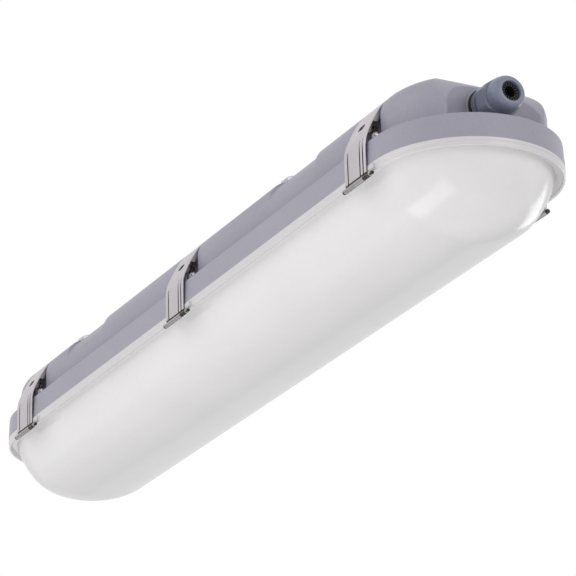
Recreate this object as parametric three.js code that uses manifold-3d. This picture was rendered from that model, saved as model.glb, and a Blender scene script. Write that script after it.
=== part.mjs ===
// Vapor tight ceiling light: a grey moulded housing, an opal bowl held under it by six steel
// toggle latches, the lamp gear inside, two ceiling brackets on the roof and a cable gland.
// Lengths are millimetres. The long side runs along X, the ceiling is the plane z = 0.
import * as THREE from "three";
import { mergeVertices } from "three/addons/utils/BufferGeometryUtils.js";
import Module from "manifold-3d";

const wasm = await Module();
wasm.setup();

const { degToRad } = THREE.MathUtils;

// Fits shared by all pieces
const clearance = 0.3;
const overrun = 2;
const weldDistance = 1e-3;

// Housing: heights are measured from the parting plane, where the bowl's flange meets the rim
const overallLength = 660;
const overallWidth = 125;
const bandHeight = 16.2;
const bandDraft = 0.8;
const bandBevel = 0.6;
const rimWall = 2.6;
const ledgeWidth = 9.3;
const bodyHeight = 50;
const shoulderRadius = 16.6;
const housingWall = 2.5;
const endSegments = 10;
const shoulderSegments = 6;

const rimRadius = overallWidth / 2;
const bodyRadius = rimRadius - ledgeWidth;
const spineHalf = overallLength / 2 - rimRadius;
const shoulderOut = bodyRadius - shoulderRadius;
const shoulderHeight = bodyHeight - shoulderRadius;
const ledgeUnderside = bandHeight - housingWall;
const rimInnerRadius = rimRadius - rimWall;

// Latch saddles: shallow recesses of the body behind the latches
const latchEndGap = 19.5;
const latchPitch = spineHalf - latchEndGap;
const latchCentres = [-latchPitch, 0, latchPitch];
const saddleHalf = 14.7;
const saddleRamp = 1.5;
const saddleDepth = 4.5;
const saddleFadeAngle = degToRad(30);

// Bracket recesses across the roof, each with its bracket at the left end of its floor
const leftRecessRun = 82;
const rightRecessRun = 100;
const recessCentres = [leftRecessRun - latchPitch, latchPitch - rightRecessRun];
const recessHalf = 31;
const recessRamp = 1.5;
const recessDepth = 1.9;
const recessFootAngle = degToRad(30);
const bracketWidth = 9;
const bracketSheet = 2.2;
const bracketHoleRadius = 2.1;
const bracketFootAngle = degToRad(60);
const bracketLipDepth = 1.2;
const bracketLipThickness = 1.2;
const bracketRise = clearance + bracketSheet - recessDepth;
const ceilingHeight = bodyHeight + bracketRise;

// Gland bay: an upright round scoop in the body's right end
const scoopRadius = 54;
const scoopBeyondEnd = 20;
const bayEdgeRadius = 10;
const bayTopRadius = 36;
const bayTopBeforeEnd = 61.5;
const bayTopDrop = 24;
const bayTopAngle = degToRad(60);
const glandSeatRadius = 14;
const glandSeatRise = 2;
const glandHoleRadius = 10.15;
const bayScoopSegments = 8;
const bayEdgeSegments = 4;
const bayTopSegments = 6;
const scoopCentreX = overallLength / 2 + scoopBeyondEnd;
const scoopWallX = scoopCentreX - scoopRadius;
const bayTopCentre = [overallLength / 2 - bayTopBeforeEnd, bodyHeight - bayTopDrop];
const glandSeatX = scoopWallX + glandSeatRise;
const glandAxisHeight = (bandHeight + bodyHeight) / 2;

// Screw pillars under the roof that carry the gear tray
const pillarRadius = 4;
const pillarEndGap = 52.5;
const pillarWallGap = 21.2;
const pillarX = spineHalf - pillarEndGap;
const pillarY = bodyRadius - pillarWallGap;
const pillarBoreDepth = 16;

// Gasket in the channel under the ledge
const gasketHeight = 4;
const gasketWidth = 6.1;
const gasketTop = ledgeUnderside - clearance;
const gasketOuterRadius = rimInnerRadius - clearance;
const gasketInnerRadius = gasketOuterRadius - gasketWidth;

// Opal bowl: flange, tongue that presses the gasket, sloped wall, elliptical corner and crown
const flangeDepth = 7.3;
const flangeEdgeRadius = 3.4;
const flangeBevel = 0.6;
const diffuserWall = 2;
const tongueInset = 4.5;
const tongueThickness = 3;
const bowlFootInset = 4.9;
const cornerCentreInset = 52.8;
const cornerCentreDrop = 10.6;
const cornerReach = 40.5;
const cornerHeight = 30.3;
const cornerStart = degToRad(28.6);
const cornerEnd = degToRad(62.2);
const cornerSegments = 4;
const crownSegments = 3;
const tongueTop = gasketTop - gasketHeight - clearance;
const tongueOuterRadius = rimRadius - tongueInset;
const tongueInnerRadius = tongueOuterRadius - tongueThickness;
const bowlFootRadius = rimRadius - bowlFootInset;
const cornerCentreOut = rimRadius - cornerCentreInset;

// Catch blocks on the flange beside each latch
const catchBlockStart = 13.4;
const catchBlockLength = 6.6;
const catchBlockOut = 3.4;
const catchBlockTop = 1.6;
const catchBlockHeight = 4.8;

// Toggle latches, in their own frame: Y points out of the fixture, the rod's tip points to -X
const strapWidth = 25.8;
const strapThickness = 1;
const strapStandOff = 0.7;
const strapBendDrop = 3;
const strapNeckHeight = 5;
const rollRadius = 2.1;
const rodRadius = 1.2;
const rollOut = 2.2;
const rollDrop = 2.2;
const wireRadius = 1.1;
const wireSides = 8;
const lugOut = 4.3;
const lugRise = 3.3;
const lugRadius = 2.6;
const lugStart = 13.6;
const lugThickness = 3;
const trunnionInset = 1;
const bailHalf = 10.5;
const leverPivotOut = 1.4;
const leverPivotRise = 11.8;
const earCentre = 8;
const earThickness = 1.2;
const earRadius = 2.6;
const slotLength = 6.6;
const slotWidth = 2.2;
const grooveWidth = 0.9;
const grooveDepth = 0.4;
const grooveEnd = 2.5;
const grooveTopDrop = 2;
const grooveShares = [0.79, -0.42, -0.71];
const rodTipReach = 24.1;
const rodCollarRadius = 1.9;
const rodCollarLength = 6;
const rodHeadLength = 1.2;
const rodTipRadius = 1.6;
const boreSides = 10;
// Strap points over the shoulder: angle above horizontal, distance from the shoulder's centre
// as a share of the shoulder's radius
const strapWrapShares = [
  [-8, 1.295],
  [8.6, 1.09],
  [22, 1.02],
  [38, 0.982],
  [54.5, 0.976],
];
// Strap points of the bend, as shares of the way from the straight part to the shoulder
const strapBendShares = [
  [0, 0],
  [0.07, 0.23],
  [0.29, 0.5],
];
// Feet of the pivot ears along the strap's slanted part
const earFootShares = [0.08, 1.02];

const hookRadiusOut = rimRadius + rollOut;
const hookHeight = -flangeDepth - rollDrop;
const lugPivot = [bodyRadius + lugOut, bandHeight + lugRise];
const leverPivot = [bodyRadius + leverPivotOut, bandHeight + leverPivotRise];

// Gear tray and the lamp gear on it
const trayEndGap = 50;
const trayWallGap = 7.7;
const traySheet = 1;
const trayTop = 9;
const trayLipHeight = 6;
const boardEndGap = 18;
const boardScrewGap = 4;
const boardGap = 16;
const boardThickness = 1.2;
const chipCount = 18;
const chipSize = 3;
const chipHeight = 0.7;
const driverLength = 190;
const driverWidth = 34;
const driverHeight = 22;
const driverBevel = 2;
const driverCentreX = -40;
const driverTabLength = 12;
const driverTabWidth = 16;
const driverTabHeight = 2;
const terminalEndGap = 87.5;
const terminalLength = 22;
const terminalPolePitch = 10;
const terminalPoleCount = 3;
const terminalHeight = 15;
const terminalPortSize = 4.6;
const terminalPortDepth = 7;
const terminalPortHeight = 5;
const conductorRadius = 1.2;
const conductorSides = 6;
const earthScrewRun = 70;
const earthScrewInset = 9;
const trayWireHoleEndGap = 32.5;
const trayWireHoleRadius = 6;
const ledWireOffset = 2.6;

const trayLength = overallLength - 2 * trayEndGap;
const trayWidth = 2 * (bodyRadius - housingWall - trayWallGap);
const boardLength = trayLength - 2 * boardEndGap;
const boardWidth = pillarY - boardScrewGap - boardGap / 2;
const terminalCentreX = spineHalf - terminalEndGap;
const earthScrewX = terminalCentreX - earthScrewRun;
const earthScrewY = trayWidth / 2 - earthScrewInset;
const trayWireHoleX = trayWireHoleEndGap - spineHalf;
const trayBottom = trayTop - traySheet;
const gearSeat = trayTop + clearance;
const boardTop = trayBottom - clearance;
const boardCentreY = (boardGap + boardWidth) / 2;
const driverRight = driverCentreX + driverLength / 2;
const driverLeft = driverCentreX - driverLength / 2;
const driverTabCentre = (driverLength + driverTabLength) / 2;

// Screws of the tray, the driver and the earth connection
const screwShankRadius = 1.5;
const screwHeadRadius = 3.2;
const screwHeadHeight = 2;
const screwSides = 12;
const trayScrewLength = 13;
const driverScrewLength = 5.5;
const earthScrewLength = 4.5;
const screwHoleRadius = screwShankRadius + clearance;

// Cable gland, along +X from its seat
const washerRadius = 12.8;
const washerThickness = 2;
const glandThreadRadius = 9.8;
const glandBoreRadius = 6.6;
const glandFlangeRadius = 12.2;
const glandFlangeLength = 3.4;
const glandNeckLength = 2;
const glandNeckRadius = 10.4;
const glandNoseLength = 13;
const nutAcrossFlats = 24;
const nutCornerRadius = 13.2;
const nutHexLength = 6.4;
const nutLength = 22.4;
const nutMouthRadius = 6.2;
const nutMouthRim = 1.2;
const nutMouthDepth = 2.4;
const nutCavityRadius = 8.6;
const sealBoreRadius = 3.5;
const sealRootRadius = 5.2;
const sealToothCount = 16;
const locknutAcrossFlats = 25;
const locknutThickness = 5;
const glandSides = 24;

const washerX = glandSeatX + clearance;
const glandFlangeX = washerX + washerThickness + clearance;
const glandNeckX = glandFlangeX + glandFlangeLength;
const nutX = glandNeckX + glandNeckLength;
const noseEndX = nutX + glandNoseLength;
const nutEndX = nutX + nutLength;
const locknutX = scoopWallX - housingWall - clearance - locknutThickness;

// Finishes
const finish = (color, roughness, metalness = 0) =>
  new THREE.MeshStandardMaterial({ color, roughness, metalness });
const housingGrey = finish(0xa6a5ae, 0.5);
const opalPlastic = finish(0xe6e4e3, 0.35);
const stainlessSteel = finish(0xcac6c4, 0.35, 0.9);
const darkSteel = finish(0x4b423c, 0.45, 0.8);
const glandGrey = finish(0x8b919f, 0.45);
const blackRubber = finish(0x1c1c1e, 0.8);
const whitePaint = finish(0xf0f0ee, 0.45);
const boardWhite = finish(0xf4f4f0, 0.5);
const zincSteel = finish(0xb9bcc0, 0.35, 0.9);
const driverCase = finish(0xdcdcda, 0.55);
const terminalBeige = finish(0xd9cfb8, 0.5);
const wireColours = { line: 0x6b4226, neutral: 0x2f5fae, earth: 0x4f9a3c, positive: 0xb8322a, negative: 0x202020 };

// Solids

const unitX = new THREE.Vector3(1, 0, 0);
const unitY = new THREE.Vector3(0, 1, 0);
const unitZ = new THREE.Vector3(0, 0, 1);

/** Six times the volume that a welded mesh encloses, negative when its faces point inwards. */
function signedVolume(geometry) {
  const place = geometry.attributes.position;
  const corners = geometry.index.array;
  const [a, b, c] = [new THREE.Vector3(), new THREE.Vector3(), new THREE.Vector3()];
  let sum = 0;
  for (let i = 0; i < corners.length; i += 3) {
    a.fromBufferAttribute(place, corners[i]);
    b.fromBufferAttribute(place, corners[i + 1]);
    c.fromBufferAttribute(place, corners[i + 2]);
    sum += a.dot(b.cross(c));
  }
  return sum;
}

/** The geometry with shared corners, no collapsed faces, and faces that point outwards. */
function welded(geometry) {
  geometry.deleteAttribute("normal");
  geometry.deleteAttribute("uv");
  const merged = mergeVertices(geometry, weldDistance);
  const corners = merged.index.array;
  const kept = [];
  for (let i = 0; i < corners.length; i += 3) {
    const [a, b, c] = [corners[i], corners[i + 1], corners[i + 2]];
    if (a !== b && b !== c && c !== a) {
      kept.push(a, b, c);
    }
  }
  merged.setIndex(kept);
  if (signedVolume(merged) < 0) {
    merged.setIndex(kept.reverse());
  }
  return merged;
}

/** A solid that can be joined and cut, made from a closed geometry. */
function solid(geometry) {
  const mesh = welded(geometry);
  const vertProperties = new Float32Array(mesh.attributes.position.array);
  const triVerts = new Uint32Array(mesh.index.array);
  return new wasm.Manifold(new wasm.Mesh({ numProp: 3, vertProperties, triVerts }));
}

/** The geometry of a solid. */
function geometryOf(shape) {
  const mesh = shape.getMesh();
  const geometry = new THREE.BufferGeometry();
  geometry.setAttribute("position", new THREE.BufferAttribute(mesh.vertProperties, 3));
  geometry.setIndex(new THREE.BufferAttribute(mesh.triVerts, 1));
  return geometry;
}

/** The first solid with every other solid added. */
const joined = (first, ...others) => others.reduce((sum, other) => sum.add(other), first);

/** The first solid with every other solid cut away. */
const cut = (first, ...others) => others.reduce((rest, other) => rest.subtract(other), first);

/** An outline of [y, z] points drawn out along X, centred on the plane x = 0. */
function alongX(outline, width) {
  const shape = new THREE.Shape(outline.map(([y, z]) => new THREE.Vector2(y, z)));
  const geometry = new THREE.ExtrudeGeometry(shape, { depth: width, bevelEnabled: false });
  geometry.translate(0, 0, -width / 2);
  return geometry.applyMatrix4(new THREE.Matrix4().makeBasis(unitY, unitZ, unitX));
}

/** A box between two corners. */
function block(low, high) {
  const [width, depth, height] = high.map((value, axis) => value - low[axis]);
  const geometry = new THREE.BoxGeometry(width, depth, height);
  return geometry.translate(...high.map((value, axis) => (value + low[axis]) / 2));
}

/** A round bar along X between two places, about the axis through [y, z]. */
function barAlongX(radius, from, to, [y, z], sides = boreSides) {
  const geometry = new THREE.CylinderGeometry(radius, radius, to - from, sides);
  return geometry.rotateZ(-Math.PI / 2).translate((from + to) / 2, y, z);
}

/** A round bar along Z between two heights, about the axis through [x, y]. */
function barAlongZ(radius, from, to, [x, y], sides = boreSides) {
  const geometry = new THREE.CylinderGeometry(radius, radius, to - from, sides);
  return geometry.rotateX(Math.PI / 2).translate(x, y, (from + to) / 2);
}

/** A piece turned about the X axis from [x, radius] points. */
function turnedAboutX(profile, sides) {
  const points = profile.map(([x, radius]) => new THREE.Vector2(radius, x));
  return new THREE.LatheGeometry(points, sides).rotateZ(-Math.PI / 2);
}

/** A turned ring: its profile closes on itself and stays off the axis. */
const ringAboutX = (profile, sides) => turnedAboutX([...profile, profile[0]], sides);

/** A hexagonal bar along X between two places. */
function hexAlongX(acrossFlats, from, to, height) {
  const hexSides = 6;
  const cornerRadius = acrossFlats / 2 / Math.cos(Math.PI / hexSides);
  return barAlongX(cornerRadius, from, to, [0, height], hexSides);
}

/** A wire of round section along straight runs, mitred at each bend. */
function bentWire(path, radius, sides) {
  const points = path.map((point) => new THREE.Vector3(...point));
  const runs = points.slice(1).map((point, i) => point.clone().sub(points[i]).normalize());
  const aside = Math.abs(runs[0].z) < 0.9 ? unitZ : unitX;
  const across = new THREE.Vector3().crossVectors(runs[0], aside).normalize();
  const upright = new THREE.Vector3().crossVectors(runs[0], across);
  let ring = Array.from({ length: sides }, (_, k) => {
    const turn = (k * 2 * Math.PI) / sides;
    const corner = points[0].clone().addScaledVector(across, radius * Math.cos(turn));
    return corner.addScaledVector(upright, radius * Math.sin(turn));
  });
  const rings = [ring];
  runs.forEach((run, i) => {
    const mitre = run.clone().add(runs[i + 1] ?? run).normalize();
    ring = ring.map((corner) => {
      const travel = points[i + 1].clone().sub(corner).dot(mitre) / run.dot(mitre);
      return corner.clone().addScaledVector(run, travel);
    });
    rings.push(ring);
  });
  const corners = rings.flat();
  const faces = [];
  for (let i = 0; i + 1 < rings.length; i += 1) {
    for (let k = 0; k < sides; k += 1) {
      const [a, b] = [i * sides + k, i * sides + ((k + 1) % sides)];
      faces.push(a, b, a + sides, b, b + sides, a + sides);
    }
  }
  const last = corners.length - sides;
  for (let k = 1; k + 1 < sides; k += 1) {
    faces.push(0, k + 1, k, last, last + k, last + k + 1);
  }
  return indexed(corners.map((corner) => corner.toArray()), faces);
}

/** A geometry from corner places and triples of corner numbers. */
function indexed(places, faces) {
  const geometry = new THREE.BufferGeometry();
  geometry.setAttribute("position", new THREE.Float32BufferAttribute(places.flat(), 3));
  geometry.setIndex(faces);
  return geometry;
}

// Long round-ended forms: a profile carried round the straight spine of the fixture

/** Share of full depth at a place along the side, falling to none over the ramp. */
function dipShare(along, centres, half, ramp) {
  const shares = centres.map((centre) => (half - Math.abs(along - centre)) / ramp);
  return THREE.MathUtils.clamp(Math.max(...shares), 0, 1);
}

/** Places where a dip's ramps start and end. */
function dipStops(centres, half, ramp) {
  const offsets = [-half, ramp - half, half - ramp, half];
  return centres.flatMap((centre) => offsets.map((offset) => centre + offset));
}

/** Stations once round the fixture, through the given places along each side. */
function stationsThrough(stops) {
  const quarter = (bodyRadius * Math.PI) / 2;
  const arcStops = Array.from({ length: endSegments + 1 }, (_, i) => spineHalf + (quarter * i) / endSegments);
  const all = [...stops, ...arcStops, ...arcStops.map((stop) => -stop)].sort((a, b) => a - b);
  const apart = all.filter((stop, i) => i === 0 || stop - all[i - 1] > weldDistance);
  const near = apart.map((along) => stationAt(along, -1));
  const far = apart.slice(1, -1).reverse().map((along) => stationAt(along, 1));
  return [...near, ...far];
}

/** One station: its centre on the spine, its outward direction, and its place along the side. */
function stationAt(along, side) {
  const beyond = Math.max(Math.abs(along) - spineHalf, 0) / bodyRadius;
  const end = Math.sign(along);
  return {
    along,
    centre: end * Math.min(Math.abs(along), spineHalf),
    outward: [end * Math.sin(beyond), side * Math.cos(beyond)],
  };
}

/** A closed form whose section at each station is a profile of [out, height] points. */
function carriedRound(stations, profileAt, ring = false) {
  const profiles = stations.map((station) =>
    profileAt(station.along).map(([out, height]) => [
      station.centre + out * station.outward[0],
      out * station.outward[1],
      height,
    ]),
  );
  const count = profiles[0].length;
  const faces = [];
  for (let i = 0; i < stations.length; i += 1) {
    const here = i * count;
    const next = ((i + 1) % stations.length) * count;
    for (let k = 0; k < (ring ? count : count - 1); k += 1) {
      const after = (k + 1) % count;
      faces.push(here + k, next + k, here + after, next + k, next + after, here + after);
    }
  }
  return indexed(profiles.flat(), faces);
}

const plainStations = stationsThrough([]);
const housingStations = stationsThrough([
  ...dipStops(latchCentres, saddleHalf, saddleRamp),
  ...dipStops(recessCentres, recessHalf, recessRamp),
]);

// Housing

/** Depth of the dips at one place of the shoulder, by angle above horizontal. */
function dipDepth(along, angle) {
  const saddleFade = THREE.MathUtils.clamp((Math.PI / 2 - angle) / saddleFadeAngle, 0, 1);
  const recessFade = THREE.MathUtils.clamp(angle / recessFootAngle, 0, 1);
  const saddle = saddleDepth * saddleFade * dipShare(along, latchCentres, saddleHalf, saddleRamp);
  const recess = recessDepth * recessFade * dipShare(along, recessCentres, recessHalf, recessRamp);
  return Math.max(saddle, recess);
}

/** The shoulder's [out, height] point at an angle, at a height off its nominal surface. */
const shoulderPoint = (angle, offset) => [
  shoulderOut + (shoulderRadius + offset) * Math.cos(angle),
  shoulderHeight + (shoulderRadius + offset) * Math.sin(angle),
];

/** Roof, shoulder and wall from the spine down to a foot height, set in by a distance. */
function bodySide(along, inset, foot) {
  const roof = bodyHeight - inset - dipDepth(along, Math.PI / 2);
  const points = [[0, roof]];
  for (let i = shoulderSegments; i >= 0; i -= 1) {
    const angle = (i / shoulderSegments) * (Math.PI / 2);
    points.push(shoulderPoint(angle, -inset - dipDepth(along, angle)));
  }
  points.push([bodyRadius - inset - dipDepth(along, 0), foot]);
  return points;
}

/** The outside of the housing's section from the spine down to the rim's lower edge. */
function housingOutside(along) {
  return [
    ...bodySide(along, 0, bandHeight),
    [rimRadius - bandDraft - bandBevel, bandHeight],
    [rimRadius - bandDraft, bandHeight - bandBevel],
    [rimRadius, 0],
  ];
}

/** The housing's whole section, outside and inside. */
function housingSection(along) {
  return [
    ...housingOutside(along),
    [rimInnerRadius, 0],
    [rimInnerRadius, ledgeUnderside],
    ...bodySide(along, housingWall, ledgeUnderside).reverse(),
  ];
}

/** Points of an arc about a centre, between two angles. */
function arcPoints([x, y], radius, from, to, segments) {
  return Array.from({ length: segments + 1 }, (_, i) => {
    const angle = from + ((to - from) * i) / segments;
    return [x + radius * Math.cos(angle), y + radius * Math.sin(angle)];
  });
}

/** Half of the bay's plan outline: the scoop, then the rounded edge, then out past the body. */
function bayHalfOutline(inset) {
  const span = scoopCentreX - spineHalf;
  const [toScoop, toSpine] = [scoopRadius + bayEdgeRadius, bodyRadius - bayEdgeRadius];
  const along = (toSpine ** 2 - toScoop ** 2 + span ** 2) / (2 * span);
  const aside = Math.sqrt(toSpine ** 2 - along ** 2);
  const scoopAngle = Math.atan2(aside, span - along);
  const spineAngle = Math.atan2(aside, along);
  const scoop = arcPoints([scoopCentreX, 0], scoopRadius + inset, Math.PI, Math.PI - scoopAngle, bayScoopSegments);
  const edgeCentre = [spineHalf + along, aside];
  const edge = arcPoints(edgeCentre, bayEdgeRadius - inset, -scoopAngle, spineAngle, bayEdgeSegments);
  const outside = [spineHalf + overallWidth * Math.cos(spineAngle), overallWidth * Math.sin(spineAngle)];
  return [...scoop.slice(0, -1), ...edge, outside, [scoopCentreX + overallWidth, outside[1]]];
}

/** What lies beyond the rounded upper edges of the bay's two cheeks, grown by an inset. */
function bayTopSolid(inset, from) {
  const arc = arcPoints(bayTopCentre, bayTopRadius - inset, 0, bayTopAngle, bayTopSegments);
  const beyond = scoopCentreX + overallWidth;
  const outline = [[arc[0][0], from], ...arc, [beyond, arc.at(-1)[1]], [beyond, from]];
  const shape = new THREE.Shape(outline.map(([x, z]) => new THREE.Vector2(x, z)));
  const geometry = new THREE.ExtrudeGeometry(shape, { depth: 2 * overallWidth, bevelEnabled: false });
  return solid(geometry.rotateX(Math.PI / 2).translate(0, overallWidth, 0));
}

/** All that the bay takes away above a height, grown into the body by an inset. */
function baySolid(inset, from, to) {
  const half = bayHalfOutline(inset);
  const mirrored = half.slice(1).map(([x, y]) => [x, -y]).reverse();
  const shape = new THREE.Shape([...half, ...mirrored].map(([x, y]) => new THREE.Vector2(x, y)));
  const geometry = new THREE.ExtrudeGeometry(shape, { depth: to - from, bevelEnabled: false });
  return joined(solid(geometry.translate(0, 0, from)), bayTopSolid(inset, from));
}

/** The closed bay in the right end, with its wall and floor kept whole. */
function withGlandBay(shell) {
  const filled = solid(carriedRound(housingStations, (along) => [...housingOutside(along), [0, 0]]));
  const top = bodyHeight + overrun;
  const lining = filled.intersect(baySolid(housingWall, ledgeUnderside, top));
  const seatSpan = [scoopWallX - housingWall, glandSeatX];
  const seat = solid(barAlongX(glandSeatRadius, ...seatSpan, [0, glandAxisHeight], glandSides));
  const hollowed = joined(shell, lining).subtract(baySolid(0, bandHeight, top));
  const holeSpan = [scoopWallX - housingWall - overrun, glandSeatX + overrun];
  const hole = solid(barAlongX(glandHoleRadius, ...holeSpan, [0, glandAxisHeight], glandSides));
  return joined(hollowed, seat).subtract(hole);
}

/** Mirrored places of the four tray screws. */
const pillarPlaces = [-1, 1].flatMap((end) => [-1, 1].map((side) => [end * pillarX, side * pillarY]));

/** A bored screw pillar between the tray and the roof. */
function pillar(place) {
  const bar = solid(barAlongZ(pillarRadius, gearSeat, bodyHeight - recessDepth - clearance, place));
  const boreFrom = gearSeat - overrun;
  return bar.subtract(solid(barAlongZ(screwHoleRadius, boreFrom, gearSeat + pillarBoreDepth, place)));
}

/** Both lugs of one latch, in the latch's frame. */
function latchLugs() {
  const [out, height] = lugPivot;
  const foot = bandHeight - clearance;
  const outline = [[out - lugRadius, foot], [out + lugRadius, foot]];
  for (let i = 0; i <= boreSides / 2; i += 1) {
    const turn = (i / boreSides) * 2 * Math.PI;
    outline.push([out + lugRadius * Math.cos(turn), height + lugRadius * Math.sin(turn)]);
  }
  const lugCentre = lugStart + lugThickness / 2;
  const bore = solid(barAlongX(wireRadius + clearance, -lugStart - lugThickness - overrun,
    lugStart + lugThickness + overrun, lugPivot));
  const lugs = [-1, 1].map((end) => solid(alongX(outline, lugThickness).translate(end * lugCentre, 0, 0)));
  return joined(...lugs).subtract(bore);
}

/** The two blind pockets that take one bracket's lips. */
function bracketPockets(centre) {
  const edge = clearance / shoulderRadius;
  const from = bracketFootAngle - edge;
  const to = bracketFootAngle + bracketLipThickness / shoulderRadius + edge;
  const floor = -recessDepth - bracketLipDepth;
  const outline = [
    shoulderPoint(from, floor),
    shoulderPoint(from, 0),
    shoulderPoint(to, 0),
    shoulderPoint(to, floor),
  ];
  const width = bracketWidth + 2 * clearance;
  return [1, -1].map((side) =>
    solid(alongX(outline.map(([y, z]) => [side * y, z]), width).translate(centre, 0, 0)),
  );
}

/** Bracket centres: each bracket lies at the left end of its recess's floor. */
const bracketCentres = recessCentres.map(
  (centre) => centre - recessHalf + recessRamp + clearance + bracketWidth / 2,
);

/** The six latch frames: name, place and turn about Z. */
const latchFrames = [["near", Math.PI], ["far", 0]].flatMap(([side, turn]) =>
  ["left", "middle", "right"].map((place, i) => ({ name: `latch_${side}_${place}`, x: latchCentres[i], turn })),
);

function housingGeometry() {
  const shell = solid(carriedRound(housingStations, housingSection));
  const lugs = latchFrames.map(({ x, turn }) => latchLugs().rotate([0, 0, (turn * 180) / Math.PI]).translate([x, 0, 0]));
  const solidParts = joined(withGlandBay(shell), ...pillarPlaces.map(pillar), ...lugs);
  return geometryOf(cut(solidParts, ...bracketCentres.flatMap(bracketPockets)));
}

/** Ring of soft foam that the bowl's tongue presses on. */
function gasketGeometry() {
  const section = [
    [gasketInnerRadius, gasketTop - gasketHeight],
    [gasketOuterRadius, gasketTop - gasketHeight],
    [gasketOuterRadius, gasketTop],
    [gasketInnerRadius, gasketTop],
  ];
  return welded(carriedRound(plainStations, () => section, true));
}

// Opal bowl

/** The bowl's outside from the crown's lowest point up to the flange. */
function bowlOutside() {
  const cornerPoint = (angle) => [
    cornerCentreOut + cornerReach * Math.cos(angle),
    -cornerCentreDrop - cornerHeight * Math.sin(angle),
  ];
  const [crownOut, crownEdge] = cornerPoint(cornerEnd);
  const crownSlope = (cornerHeight / cornerReach) / Math.tan(cornerEnd);
  const crownDrop = (crownOut * crownSlope) / 2;
  const points = [];
  for (let i = 0; i < crownSegments; i += 1) {
    const share = i / crownSegments;
    points.push([crownOut * share, crownEdge - crownDrop * (1 - share * share)]);
  }
  for (let i = cornerSegments; i >= 0; i -= 1) {
    points.push(cornerPoint(cornerStart + ((cornerEnd - cornerStart) * i) / cornerSegments));
  }
  points.push([bowlFootRadius, -flangeDepth]);
  return points;
}

/** A line of points moved sideways by a distance, to the left of its direction. */
function movedAside(points, distance) {
  const normals = points.slice(1).map(([out, height], i) => {
    const [run, rise] = [out - points[i][0], height - points[i][1]];
    const length = Math.hypot(run, rise);
    return [-rise / length, run / length];
  });
  return points.map(([out, height], i) => {
    const before = normals[Math.max(i - 1, 0)];
    const after = normals[Math.min(i, normals.length - 1)];
    const [x, y] = [before[0] + after[0], before[1] + after[1]];
    const scale = (2 * distance) / (x * x + y * y);
    return [out + x * scale, height + y * scale];
  });
}

/** Rounded lower edge of the flange, from its side to its underside. */
function flangeEdge() {
  const steps = 3;
  return Array.from({ length: steps + 1 }, (_, i) => {
    const turn = (i / steps) * (Math.PI / 2);
    return [
      rimRadius - flangeEdgeRadius * (1 - Math.cos(turn)),
      -flangeDepth + flangeEdgeRadius * (1 - Math.sin(turn)),
    ];
  });
}

/** A small block on the flange beside one latch, in the latch's frame. */
function catchBlock() {
  const inner = rimRadius - flangeEdgeRadius;
  const low = [-catchBlockStart - catchBlockLength, inner, -catchBlockTop - catchBlockHeight];
  return solid(block(low, [-catchBlockStart, rimRadius + catchBlockOut, -catchBlockTop]));
}

function diffuserGeometry() {
  const outside = bowlOutside();
  const inside = movedAside(outside, diffuserWall);
  inside[0][0] = 0;
  const flangeTop = -clearance;
  const section = [
    ...outside,
    ...flangeEdge().reverse(),
    [rimRadius, flangeTop - flangeBevel],
    [rimRadius - flangeBevel, flangeTop],
    [tongueOuterRadius, flangeTop],
    [tongueOuterRadius, tongueTop],
    [tongueInnerRadius, tongueTop],
    [tongueInnerRadius, -flangeDepth + diffuserWall],
    ...inside.reverse(),
  ];
  const bowl = solid(carriedRound(plainStations, () => section));
  const blocks = latchFrames.map(({ x, turn }) =>
    catchBlock().rotate([0, 0, (turn * 180) / Math.PI]).translate([x, 0, 0]),
  );
  return geometryOf(joined(bowl, ...blocks));
}

// Ceiling brackets

/** A steel strip over the roof, hooked into the pockets at both shoulders. */
function bracketGeometry() {
  const lipAngle = bracketFootAngle + bracketLipThickness / shoulderRadius;
  const angles = [];
  for (let i = 1; i <= shoulderSegments; i += 1) {
    const angle = (i / shoulderSegments) * (Math.PI / 2);
    if (angle > lipAngle) {
      angles.push(angle);
    }
  }
  const arc = (offset, first) => [first, ...angles].map((angle) => shoulderPoint(angle, offset));
  const bothSides = (points) => [...points, ...points.map(([y, z]) => [-y, z]).reverse()];
  const seat = clearance - recessDepth;
  const lipFloor = seat - bracketLipDepth;
  const outer = bothSides(arc(bracketRise, bracketFootAngle));
  const inner = bothSides([
    shoulderPoint(bracketFootAngle, lipFloor),
    shoulderPoint(lipAngle, lipFloor),
    ...arc(seat, lipAngle),
  ]);
  const strip = solid(alongX([...outer, ...inner.reverse()], bracketWidth));
  const hole = solid(barAlongZ(bracketHoleRadius, bodyHeight - recessDepth, ceilingHeight + overrun, [0, 0]));
  return geometryOf(strip.subtract(hole));
}

// Toggle latches, each in its own frame

/** The strap's middle line from the roll up over the shoulder. */
function strapLine() {
  const neckOut = rimRadius + clearance + strapThickness / 2;
  const faceOut = rimRadius + strapStandOff + strapThickness / 2;
  const wrap = strapWrapShares.map(([angle, share]) => shoulderPoint(degToRad(angle), shoulderRadius * (share - 1)));
  const bendStart = [faceOut, bandHeight - strapBendDrop];
  const bend = strapBendShares.map(([outShare, upShare]) => [
    bendStart[0] + (wrap[0][0] - bendStart[0]) * outShare,
    bendStart[1] + (wrap[0][1] - bendStart[1]) * upShare,
  ]);
  const foot = [
    [neckOut, hookHeight + rollRadius / 2],
    [neckOut, hookHeight + strapNeckHeight],
    [faceOut, hookHeight + 2 * strapNeckHeight],
  ];
  return { line: [...foot, ...bend, ...wrap], bendEnd: bend.at(-1), slot: wrap[0], afterSlot: wrap[1] };
}

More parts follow.
